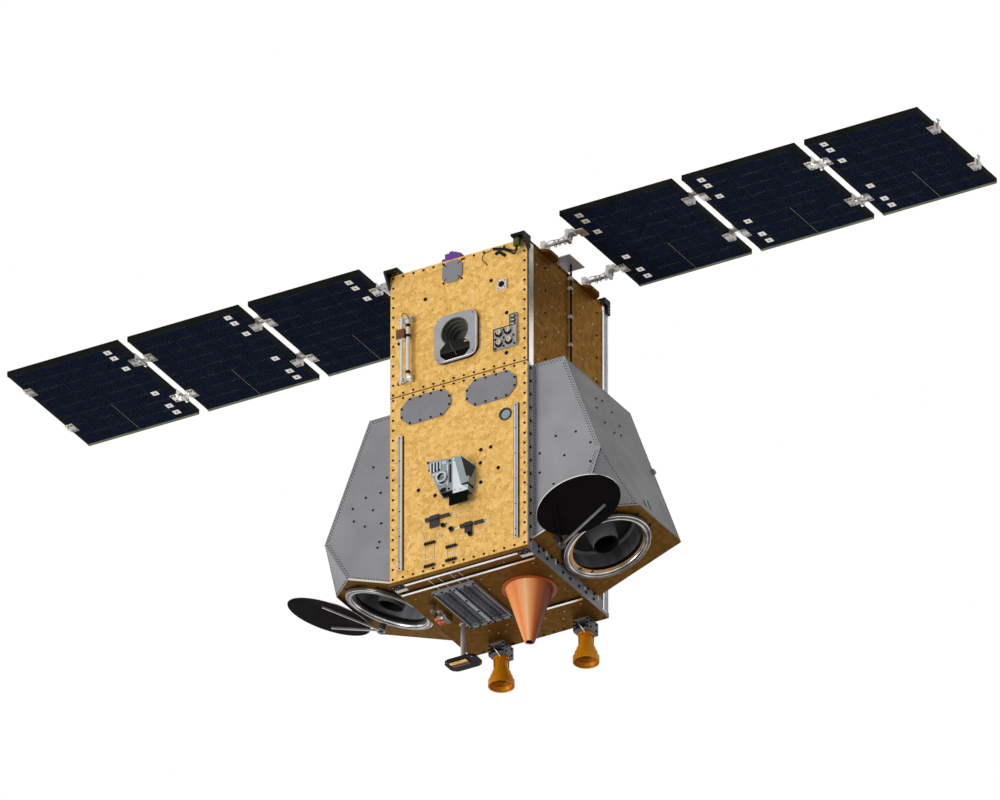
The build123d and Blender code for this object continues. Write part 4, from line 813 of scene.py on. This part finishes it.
# Horn antennas.
# Amber-coated corrugated horns with four fins under a collar. Each grey bracket has black screws and
# a bright feed that bends into the horn's throat.
orange_horn = metal("orange_horn", "b86c06", "e09210", 0.25, 0.36, specular=0.15)
horn_inner_painted_shade = metal("horn_inner_painted_shade", "5a3204", "7a4808", 0.3, 0.4)
dress(["horns"], orange_horn)
dress(["horn_brackets"], metal("bracket_metal", "525255", "6c6c70", 0.2, 0.45))
throat_z, rim_z, ring_pitch = -1.472, -1.5785, 0.0178
inner_rings = [turned("inner_ring", [(radius, -1.2), (radius - 1.8, 0), (radius - 3.6, -1.2)], 36, True)
               for radius in (45.5, 39.8, 33.6, 27.5)]
for number, (x, y) in enumerate(horn_spots, 1):
    rings = [set_out("ring", ring, [(x, y, rim_z + ring_pitch * step)], below)
             for step, ring in enumerate(inner_rings)]
    # The rings inside each horn are a darker amber: painted shade inside the bell.
    fit(f"horn_inner_rings_{number}", rings, horn_inner_painted_shade, "orange_horn")
    fins = []
    for quarter in range(4):
        fin = block("fin", (-0.0020, 0.0250, -1.5040), (0.0020, 0.0310, throat_z))
        fin.data.transform(Matrix.Translation((x, y, 0)) @ Matrix.Rotation(math.radians(45 + 90 * quarter), 4, "Z"))
        fins.append(fin)
    fit(f"horn_fins_{number}", fins, orange_horn, "orange_horn")
    places = [(x + dx, y - 0.040, floor_z - dz) for dx in (-0.029, 0.029) for dz in (0.010, 0.026, 0.042)]
    fasten(f"horn_bracket_screws_{number}", black_screw, places, ahead)
    places = [(x + 0.034, y + dy, floor_z - dz) for dy in (-0.024, 0.018) for dz in (0.012, 0.040)]
    fasten(f"horn_bracket_side_screws_{number}", black_screw, places, (1, 0, 0))
    lead(f"horn_feed_{number}", [(x - 0.012, y - 0.030, -1.414), (x - 0.010, y - 0.044, -1.432),
                                 (x + 0.008, y - 0.046, -1.452), (x + 0.012, y - 0.030, -1.468)],
         0.0055, bare_metal, "bare_metal")
    places = [(x + 0.0275 * math.cos(a), y + 0.0275 * math.sin(a), throat_z)
              for a in [math.tau * step / 8 for step in range(8)]]
    fasten(f"horn_collar_screws_{number}", small_stud, places, below)
discard(*inner_rings)


# Telescope housings.
# Riveted sheet aluminium: small rivets along each folded edge, larger black screws over the frames
# inside, thin bright strips on the front corners as painted highlights, and a white batten along the
# lower front edge. The left housing is painted a darker grey and the right one's outer wall darker
# still, as painted shade.
tilt = math.radians(20.4)
wall_x, root_z, housing_top = 0.300, -1.352, -0.591


def rivet_rows(start, end, facing, insets, pitch=0.0135):
    """Rows of rivet places inside a face's edge; the face lies to the left of the edge."""
    start, end, facing = Vector(start), Vector(end), Vector(facing).normalized()
    forth = (end - start).normalized()
    run = (end - start).length
    places = []
    for row, inset in enumerate(insets):
        first = 0.010 + row * pitch / 2
        count = max(1, int((run - 2 * first) / pitch))
        places += [start + forth * (first + number * pitch) + facing.cross(forth) * inset
                   for number in range(count + 1)]
    return places


def sloped_bar(name, start, end, facing, width, height):
    """A straight bar from one place to another, its back on the face that it looks out from."""
    start, end, facing = Vector(start), Vector(end), Vector(facing).normalized()
    bar = block(name, (0, -width / 2, -0.0003), ((end - start).length, width / 2, height), 0.0004)
    forth = (end - start).normalized()
    turn = Matrix((forth, facing.cross(forth), facing)).transposed().to_4x4()
    bar.data.transform(Matrix.Translation(start) @ turn)
    return bar


housing_metal = metal("housing_metal", "8e8e91", "a1a1a4", 0.12, 0.50, 0.6)
# The left housing gets a darker copy of the grey: painted shade.
left_housing_painted_shade = metal("left_housing_painted_shade", "848487", "98989b", 0.12, 0.50, 0.6)
outer_wall_painted_shade = metal("outer_wall_painted_shade", "6b6b6d", "7f7f81", 0.12, 0.50, 0.6)
dress(["right_housing"], housing_metal)
dress(["left_housing"], left_housing_painted_shade)
# The right housing's outer wall is painted darker: painted shade.
paint_where("right_housing", outer_wall_painted_shade, lambda c, n: n.x > 0.9 and abs(n.y) < 0.2)
right_screws = [(403, -931), (490, -937), (554, -1002), (333, -987), (440, -1026), (553, -1084), (332, -1071),
                (481, -1137), (393, -1137)]
left_screws = [(398, -921), (463, -924), (520, -956), (431, -987), (515, -1013), (395, -1055), (467, -1049),
               (403, -1134), (411, -1157), (370, -863), (345, -720), (430, -800)]
housings = [
    ("right", 1, -0.2715, 0.140, 0.361, 0.438, 0.208, right_screws),
    ("left", -1, -0.2135, 0.147, 0.394, 0.487, 0.241, left_screws),
]
for word, side, front, top_reach, low_reach, knee_drop, corner_reach, front_screws in housings:
    end_z = root_z + low_reach * math.tan(tilt)
    lean = (low_reach - top_reach) / (housing_top - end_z)
    top_in = Vector((wall_x + 0.001, front, housing_top))
    top_out = Vector((wall_x + top_reach, front, housing_top))
    root = Vector((wall_x + 0.001, front, root_z))
    knee = Vector((wall_x + top_reach + knee_drop * lean, front, housing_top - knee_drop))
    corner = Vector((wall_x + corner_reach, front, root_z + corner_reach * math.tan(tilt)))
    end = Vector((wall_x + low_reach, front + 0.178, end_z))
    behind = Vector((0, 0.503, 0))
    back_end = Vector((end.x, front + behind.y, end_z))
    outer_facing = Vector((1, 0, lean)).normalized()
    chamfer_facing = (corner - knee).cross(end - knee).normalized()
    if chamfer_facing.x < 0:
        chamfer_facing = -chamfer_facing
    faces = [
        ((0, -1, 0), [(knee, top_out), (top_out, top_in), (top_in, root), (root, corner), (corner, knee)]),
        (outer_facing, [(top_out, knee), (knee, end), (end, back_end), (back_end, top_out + behind),
                        (top_out + behind, top_out)]),
        (chamfer_facing, [(knee, corner), (corner, end), (end, knee)]),
        ((0, 0, 1), [(top_in, top_out), (top_out, top_out + behind), (top_out + behind, top_in + behind)]),
        ((0, 1, 0), [(top_in + behind, top_out + behind), (top_out + behind, back_end), (back_end, root + behind)]),
    ]
    rivets = []
    for number, (facing, edges) in enumerate(faces):
        insets = (0.006, 0.014) if number == 0 else (0.007,)
        places = [(side * x, y, z) for start, stop in edges for x, y, z in rivet_rows(start, stop, facing, insets)]
        rivets.append(set_out("rivets", rivet, places, (side * facing[0], facing[1], facing[2])))
    fit(f"{word}_housing_rivets", rivets)
    # Thin bright strips along the folded corners: painted highlights.
    highlight_strips = []
    for (start, stop), facing in (((top_out, knee), outer_facing), ((knee, corner), ahead),
                                  ((knee, end), outer_facing), ((corner, end), chamfer_facing)):
        start, stop, facing = (Vector((side * v[0], v[1], v[2])) for v in (start, stop, facing))
        inwards = facing.cross(stop - start).normalized() * side * 0.0022
        highlight_strips.append(sloped_bar("highlight_strip", start + inwards, stop + inwards, facing, 0.0036, 0.0010))
    fit(f"{word}_edge_highlights", highlight_strips, pale_aluminium, "grey_aluminium")

    def on_wall(y, z):
        """A place on the outer wall, which leans outwards."""
        return Vector((side * (wall_x + top_reach + (housing_top - z) * lean), y, z))

    outwards = (side * outer_facing.x, 0, outer_facing.z)
    places = [(side * x, y, z) for x, y, z in upright(front, front_screws)]
    screws = [set_out("screws", black_screw, places, ahead)]
    places = [on_wall(y, z) for y, z in (
        (-0.100, -0.704), (-0.040, -0.681), (-0.133, -0.767), (0.018, -0.706), (-0.107, -0.824), (0.045, -0.758),
        (-0.046, -0.841), (0.020, -0.817))]
    screws.append(set_out("screws", black_screw, places, outwards))
    fit(f"{word}_housing_screws", screws)
    slots = [sloped_bar("slot", on_wall(-0.015, -1.1510), on_wall(-0.015, -1.1800), outwards, 0.0075, 0.0012),
             sloped_bar("slot", on_wall(0.027, -1.1300), on_wall(0.027, -1.1720), outwards, 0.0090, 0.0012)]
    fit(f"{word}_vent_slots", slots)
    mount(sloped_bar(f"{word}_vent_land", on_wall(0.006, -1.1400), on_wall(0.006, -1.1760), outwards, 0.0110,
                     0.0014), pale_aluminium, "grey_aluminium")
    knob = turned("knob", [(12, -0.4), (12, 6), (9, 10), (5, 11)], 16)
    fasten(f"{word}_knob", knob, [on_wall(0.222, -0.884)], outwards, grey_aluminium, "bare_metal")
    discard(knob)
    batten_z = root_z + 0.006
    mount(sloped_bar(f"{word}_lower_batten", (side * 0.302, front - 0.0003, batten_z),
                     (side * (0.298 + corner_reach), front - 0.0003,
                      batten_z + (corner_reach - 0.004) * math.tan(tilt)), ahead, 0.007, 0.0016),
          white_paint, "white_paint")
discard(rivet)


# Telescope mouths.
# A polished hoop clamps each black barrel's mouth, with small screws round it and a thin black ring
# inside it as painted shadow in the gap. The hoop is painted in rings of painted highlight and shade,
# the barrel darker further in as painted shade, and the left central baffle in a darker material as
# painted shade. The plate round it is covered with film, and a gilded shim lines the right mouth's lip.
def plate_frame(side, along_plate, y):
    """How a telescope's plate is turned (x up its slope, z out of the mouth), and a place on it."""
    slope = Vector((side * math.cos(tilt), 0, math.sin(tilt)))
    normal = Vector((side * math.sin(tilt), 0, -math.cos(tilt)))
    origin = Vector((side * wall_x, y, root_z)) + slope * along_plate
    return Matrix((slope, normal.cross(slope), normal)).transposed(), origin


def painted_light_rings(name, origin, axis, stops, metallic, roughness, inwards=False):
    """Turned metal in rings of several tones round an axis, as painted highlights and painted shade, each
    painted brighter and darker round the turn. The stops give millimetres from the axis, or into the
    mouth, and a tone."""
    material, tree = blank_material(name)
    place = node(tree, "ShaderNodeTexCoord").outputs["Object"]
    from_origin = vectors(tree, "SUBTRACT", _0=place, _1=origin)[0]
    around = vectors(tree, "CROSS_PRODUCT", _0=from_origin, _1=axis)[0]
    if inwards:
        distance = vectors(tree, "DOT_PRODUCT", _0=from_origin, _1=-axis)["Value"]
    else:
        distance = vectors(tree, "LENGTH", _0=around)["Value"]
    first, last = stops[0][0] / 1000, stops[-1][0] / 1000
    share = node(tree, "ShaderNodeMapRange", _0=distance, _1=first, _2=last)
    rings = node(tree, "ShaderNodeValToRGB", _0=share.outputs[0])
    ramp = rings.color_ramp.elements
    ramp[0].color, ramp[1].color = tone(stops[0][1]), tone(stops[-1][1])
    for stop, code in stops[1:-1]:
        ramp.new((stop / 1000 - first) / (last - first)).color = tone(code)
    heading = vectors(tree, "NORMALIZE", _0=around)[0]
    # Noise round the turn scales the tones: painted highlight arcs, brighter and darker round the turn.
    highlight_arcs = node(tree, "ShaderNodeTexNoise", Vector=heading, Scale=1.7, Detail=2.0)
    painted_light_gain = node(tree, "ShaderNodeMapRange", _0=highlight_arcs.outputs[0], _1=0.35, _2=0.65, _3=0.45, _4=1.35)
    toned = vectors(tree, "SCALE", _0=rings.outputs[0], Scale=painted_light_gain.outputs[0])[0]
    shader = node(tree, "ShaderNodeBsdfPrincipled", Base_Color=toned, Metallic=metallic, Roughness=roughness)
    node(tree, "ShaderNodeOutputMaterial", Surface=shader.outputs[0])
    return material


dark_inside = metal("dark_inside", "88888c", "a2a2a6", 0.2, 0.40, specular=0.3)
# The bright rings in the hoop's stops are painted highlights.
hoop_highlight_stops = [(147, "f2eeea"), (149, "e6e0da"), (151, "5a5552"), (154, "6c6763"), (157, "efe9e2"), (160, "7a726b"),
              (166, "4e463f"), (170, "5e554c"), (172, "fbf8f5"), (174, "3a342f"), (178, "4c453f")]
# The barrel darkens further into the mouth: painted shade.
barrel_shade_stops = [(0, "8e8e92"), (84, "7a7a7e"), (90, "2a2a2c"), (230, "141416")]
# The left central baffle gets the darker cup_black: painted shade.
mouths = (("right", 1, 0.180, -0.0045, dark_inside), ("left", -1, 0.191, 0.0025, cup_black))
# A black ring inside the hoop stands for the gap: painted shadow.
gap_shadow_ring = turned("gap_shadow_ring", [(146.8, -10), (146.8, 6), (139.5, 2), (139.5, -10)], 72, True)
ledge_ring = turned("ledge_ring", [(146.9, -90), (146.9, -84), (133, -84), (133, -90)], 72, True)
for word, side, mouth_along, mouth_y, baffle_metal in mouths:
    turn, origin = plate_frame(side, mouth_along, mouth_y)
    axis = turn @ Vector((0, 0, 1))
    dress([f"{word}_aperture_plate"], brown_foil)
    dress([f"{word}_aperture_hoop"], painted_light_rings(f"{word}_hoop_painted_highlights", origin, axis, hoop_highlight_stops, 0.9, 0.22))
    dress([f"{word}_barrel"], painted_light_rings(f"{word}_barrel_painted_shade", origin, axis, barrel_shade_stops, 0.2, 0.35, True))
    dress([f"{word}_central_baffle"], baffle_metal)
    paint_where(f"{word}_central_baffle", lid_black, lambda c, n: n.dot(axis) > 0.5
                or n.dot((c - origin) - axis * (c - origin).dot(axis)) < 0)
    fasten(f"{word}_barrel_ledge", ledge_ring, [origin], axis, dark_inside)
    fasten(f"{word}_mouth_gap_shadow", gap_shadow_ring, [origin], axis)
    places = [origin + turn @ Vector((0.1835 * math.cos(a), 0.1835 * math.sin(a), 0))
              for a in [math.tau * (step + 0.5) / 12 for step in range(12)]]
    fasten(f"{word}_hoop_screws", black_screw, places, axis)
lip_shim = turned("lip_shim", [(146.8, 4.5), (146.8, 6.2), (141.1, 6.2), (141.1, 4.5)], 72, True)
for vertex in lip_shim.data.vertices:
    if vertex.co.xy.length < 0.1450:
        vertex.co += Vector((0.0055, -0.0008, 0))
turn, origin = plate_frame(1, 0.180, -0.0045)
lip_shim.data.transform(Matrix.Translation(origin) @ turn.to_4x4())
mount(lip_shim, metal("lip_gold", "c98f48", "e8b878", 0.3, 0.4), "gold_foil")
places = [origin + turn @ Vector((x, y, 0.0062)) for x, y in ((-0.1385, -0.0285), (-0.1165, -0.0820))]
fasten("lip_shim_screws", black_screw, places, turn @ Vector((0, 0, 1)))
discard(ledge_ring, gap_shadow_ring)


# Telescope lids.
# Thin black discs with a bright rim. Each hangs on two thin bars that swing about a dark post at the
# edge of its mouth.
dress(["lid_posts"], metal("post_metal", "2c2c2e", "4c4c50", 0.3, 0.4))
dress(["left_lid_arms"], bare_metal)
dress(["right_lid_arms"], metal("arm_metal", "343436", "a8a8ac", 0.3, 0.4, 0.6))
paint_where("right_lid_arms", lid_black, lambda c, n: c.y < -0.262)
for side, word in sides:
    turn, origin = plate_frame(side, 0, 0)
    axis = turn @ Vector((0, 0, 1))
    dress([f"{word}_lid"], lid_black)
    paint_where(f"{word}_lid", silver_tape, lambda c, n: abs(n.dot(axis)) < 0.5)


# Solar cells.
# Blue-black cells in eight rows under cover glass. Thin silver fingers cross each row, gold
# interconnects show between the rows as broken lines, and two rows meet at a brighter bus bar.
wing_start, panel_pitch, panel_length, wing_z = 0.440, 0.534, 0.491, 0.0166
row_pitch, first_row, first_cell = 0.074125, -0.2965, 0.0140
grid, given, result = new_group("cell_grid", {"Start": wing_start}, ("Fingers", "Gold", "Cell"))


def lines(value, pitch, offset, width):
    """1 within a line's width at each pitch along a value."""
    moved = maths(grid, "SUBTRACT", value, offset - pitch * 20)
    return maths(grid, "LESS_THAN", maths(grid, "MODULO", moved, pitch), width)


place = node(grid, "ShaderNodeTexCoord").outputs["Object"]
axes = node(grid, "ShaderNodeSeparateXYZ", _0=place).outputs
from_start = maths(grid, "SUBTRACT", maths(grid, "ABSOLUTE", axes["X"]), given["Start"])
fine_grain = node(grid, "ShaderNodeTexNoise", Vector=place, Scale=210.0, Detail=1.0)
fine_spots = node(grid, "ShaderNodeMapRange", _0=fine_grain.outputs[0], _1=0.40, _2=0.64)
fingers = maths(grid, "MULTIPLY", lines(from_start, 0.0085, first_cell, 0.0036), fine_spots.outputs[0])
cell_edges = lines(from_start, 0.0800, first_cell, 0.0009)
dashes = maths(grid, "MULTIPLY", lines(axes["Y"], row_pitch, first_row - 0.0030, 0.0060),
               lines(from_start, 0.0125, first_cell, 0.0070))
patchy = node(grid, "ShaderNodeTexNoise", Vector=place, Scale=14.0, Detail=2.0)
bright = node(grid, "ShaderNodeMapRange", _0=patchy.outputs[0], _1=0.34, _2=0.62)
bus_bar = maths(grid, "MULTIPLY", lines(from_start, panel_pitch, 0.2540, 0.0013),
                maths(grid, "GREATER_THAN", axes["Y"], 0.074))
gold = maths(grid, "MAXIMUM", maths(grid, "MULTIPLY", dashes, bright.outputs[0]), bus_bar)
grid.links.new(maths(grid, "MAXIMUM", fingers, cell_edges), result["Fingers"])
grid.links.new(gold, result["Gold"])
grid.links.new(patchy.outputs[0], result["Cell"])


def cell_glass(name, start):
    """The cells of one panel, which starts at a distance from the middle of the satellite."""
    material, tree = blank_material(name)
    pattern = node(tree, "ShaderNodeGroup", {"node_tree": grid}, Start=start).outputs
    cells = node(tree, "ShaderNodeValToRGB", _0=pattern["Cell"])
    cells.color_ramp.elements[0].color = tone("070b17")
    cells.color_ramp.elements[1].color = tone("0f1728")
    fingered = node(tree, "ShaderNodeMix", {"data_type": "RGBA"}, _0=pattern["Fingers"], _6=cells.outputs[0],
                    _7=tone("2a3852"))
    gilded = node(tree, "ShaderNodeMix", {"data_type": "RGBA"}, _0=pattern["Gold"], _6=fingered.outputs[2],
                  _7=tone("b3a78a"))
    polish = node(tree, "ShaderNodeMapRange", _0=pattern["Cell"], _3=0.22, _4=0.32)
    shader = node(tree, "ShaderNodeBsdfPrincipled", Base_Color=gilded.outputs[2], Roughness=polish.outputs[0],
                  Specular_IOR_Level=0.003)
    node(tree, "ShaderNodeOutputMaterial", Surface=shader.outputs[0])
    return material


carbon = metal("carbon_sheet", "0d0e0e", "181a19", 0.0, 0.5, specular=0.02)
olive_edge = metal("olive_edge", "5f6450", "7c8168", 0.3, 0.45, specular=0.2)
green_edge = metal("green_edge", "0f1210", "1a1f1c", 0.0, 0.5, specular=0.02)
pad_white = metal("pad_white", "e6e0d6", "f8f4ec", 0.7, 0.4)
pad = turned("pad", [(19.5, -0.3), (19.5, 0.8), (18.6, 1.4)], 4)
pad.data.transform(Matrix.Rotation(math.radians(45), 4, "Z"))
pad_dot = turned("pad_dot", [(4.2, 0), (4.2, 0.6), (3, 1.2)], 10)
panels = [(side, word, number, f"{word}_{part}", wing_start + panel_pitch * number)
          for side, word in sides for number, part in enumerate(("inner", "middle", "outer"))]
for side, word, number, body, start in panels:
    cells = cell_glass(f"{body}_cells", start)
    dress([f"{body}_panel"], carbon)
    paint_where(f"{body}_panel", cells, lambda c, n: n.z < -0.5 and c.z < wing_z - 0.0108)
    paint_where(f"{body}_panel", green_edge, lambda c, n: n.y < -0.5 and c.y < -0.305)
    paint_where(f"{body}_panel", olive_edge, lambda c, n: n.y > 0.5 and c.y > 0.305)
    places = [(side * (start + 0.066), y, wing_z - 0.0110) for y in (-0.271, -0.222, -0.132, 0.086, 0.195, 0.250)]
    fasten(f"{body}_pads", pad, places, below, pad_white, "white_paint", body)
    places = [(x, y, z - 0.0013) for x, y, z in places]
    fasten(f"{body}_pad_dots", pad_dot, places, below, brown_plastic, "bare_metal", body)
    mount(side_block(f"{body}_edge_lip", side, start, start + panel_length, 0.2950, 0.3080, wing_z - 0.0128,
                     wing_z - 0.0098), olive_edge, "cells", body)
    mount(side_block(f"{body}_edge_band", side, start, start + panel_length, -0.3080, -0.2975, wing_z - 0.0120,
                     wing_z - 0.0098), green_edge, "cells", body)
discard(pad, pad_dot)


# Hinge fittings.
# Bright leaves bolted through the panels, a gilded shim under each leaf of the inner side, and a coil
# spring round the pin on both sides of the middle knuckle.
arm_casting = metal("arm_casting", "5e5a56", "f0ece6", 0.8, 0.28, 0.45)
hinge_lines = (-0.1565, 0.1565)
hinge_bolt = turned("hinge_bolt", [(4.8, -0.4), (4.8, 2), (3.8, 3), (1.8, 3)], 8)
spring_turn = turned("spring_turn", [(7.4, -0.8), (8.2, -0.4), (8.2, 0.4), (7.4, 0.8)], 14)
for side, word, number, body, start in panels:
    stop = start + panel_length
    dress([f"{body}_fittings"], arm_casting)
    bolts, shims = [], []
    for edge_x, inwards in ((start, 1), (stop, -1)):
        for y in hinge_lines:
            bolts += [(side * (edge_x + inwards * step), y + dy) for step in (0.009, 0.021) for dy in (-0.019, 0.019)]
            if inwards < 0 or number == 0:
                shims.append(side_block("shim", side, edge_x, edge_x + inwards * 0.0305, y - 0.0295, y + 0.0295,
                                        wing_z - 0.0112, wing_z - 0.0098, 0))
    low_bolts = set_out("bolts", hinge_bolt, [(x, y, wing_z - 0.013) for x, y in bolts], below)
    high_bolts = set_out("bolts", hinge_bolt, [(x, y, wing_z + 0.013) for x, y in bolts], above)
    fit(f"{body}_hinge_bolts", [low_bolts, high_bolts], grey_aluminium, "grey_aluminium", body)
    fit(f"{body}_shims", shims, shim_gold, "gold_foil", body)
    if number < 2:
        pin_x = side * (stop + 0.0215)
        pin_z = wing_z + (0.020 if number == 0 else -0.020)
        places = [(pin_x, y + sign * (0.0205 + 0.0019 * step), pin_z)
                  for y in hinge_lines for sign in (-1, 1) for step in range(4)]
        fasten(f"{body}_springs", spring_turn, places, (0, 1, 0), bare_metal, "bare_metal", body)
discard(spring_turn)


# Wing outriggers.
# Machined arms with bolted feet. Wire loops and a spring cartridge on each arm hold the hinge open,
# two latch plates stand beside the knuckle, and a thin cable runs along the tube.
tube_z = -0.010
dress(["wing_arms"], arm_casting)
for side, word in sides:
    pieces = []
    for y in hinge_lines:
        for reach, size in ((0.334, 0.0125), (0.352, 0.0105), (0.376, 0.0125)):
            bpy.ops.object.select_all(action="DESELECT")
            bpy.ops.mesh.primitive_torus_add(major_radius=size, minor_radius=0.0019, major_segments=24,
                                             minor_segments=8, location=(side * reach, y, tube_z - 0.001),
                                             rotation=(0, math.radians(90), 0))
            bpy.ops.object.transform_apply()
            pieces.append(bpy.context.object)
        cartridge = turned("cartridge", [(6, -30), (7.5, -28), (7.5, -10), (5, -9),
                                         (5, 9), (7.5, 10), (7.5, 28), (6, 30)], 14)
        cartridge.data.transform(Matrix.Translation((side * 0.350, y + 0.0150, tube_z + 0.010))
                                 @ Matrix.Rotation(math.radians(90), 4, "Y"))
        pieces.append(cartridge)
        feet = [(side * x, y + dy, -0.045) for x in (0.262, 0.276) for dy in (-0.024, 0.024)]
        cheeks = [(side * wall_x, y + dy, z) for z in (-0.0330, -0.0100) for dy in (-0.015, 0.015)]
        pieces += [set_out("bolts", hinge_bolt, feet, above), set_out("bolts", hinge_bolt, cheeks, (side, 0, 0))]
        pieces += [side_block("latch", side, 0.3860, 0.4020, y - 0.0180, y - 0.0145, 0.0040, 0.0290, 0.001),
                   side_block("latch", side, 0.3840, 0.4020, y + 0.0145, y + 0.0180, -0.0040, 0.0200, 0.001)]
    fit(f"{word}_arm_hardware", pieces, bare_metal, "bare_metal")
    for number, y in enumerate(hinge_lines, 1):
        lead(f"{word}_arm_cable_{number}", [(side * 0.290, y - 0.0230, -0.030), (side * 0.312, y - 0.0200, -0.004),
                                            (side * 0.338, y - 0.0110, -0.001), (side * 0.366, y - 0.0100, -0.004),
                                            (side * 0.384, y - 0.0120, 0.006)], 0.0036, bare_metal, "bare_metal")
discard(hinge_bolt)


# Rod antenna.
# A dark rod in white clamps, which are screwed to the right side one above the other.
rod_axis = Vector((0.308, 0.010))
dress(["whip_antenna"], white_paint)
paint_where("whip_antenna", black_paint, lambda c, n: (c.xy - rod_axis).length < 0.0050)


# Back panel and deck.
# The same film, edged with black screws and pinned with pale studs. A pale flat antenna stands on
# the deck.
dress(["deck_antenna"], metal("antenna_grey", "bcbcbf", "cfcfd2", 0.5, 0.4))
back_y = 0.3095
places = []
for x in (-screw_line, screw_line):
    places += along((x, back_y, -0.062), (x, back_y, -1.380), 32)
for z in (-0.062, -0.586, -1.380):
    places += along((-screw_line, back_y, z), (screw_line, back_y, z), 14)[1:-1]
fasten("back_panel_screws", black_screw, places, (0, 1, 0))
fasten("back_studs", pale_stud, upright(back_y, stud_spots), (0, 1, 0), bare_metal, "bare_metal")
places = along((-0.220, -0.285, -0.050), (0.220, -0.285, -0.050), 11)
places = [place for place in places if not -0.095 < place.x < 0.005]
places += along((-0.220, 0.285, -0.050), (0.220, 0.285, -0.050), 11)
fasten("deck_top_screws", black_screw, places, above)
discard(black_screw, small_stud, pale_stud)
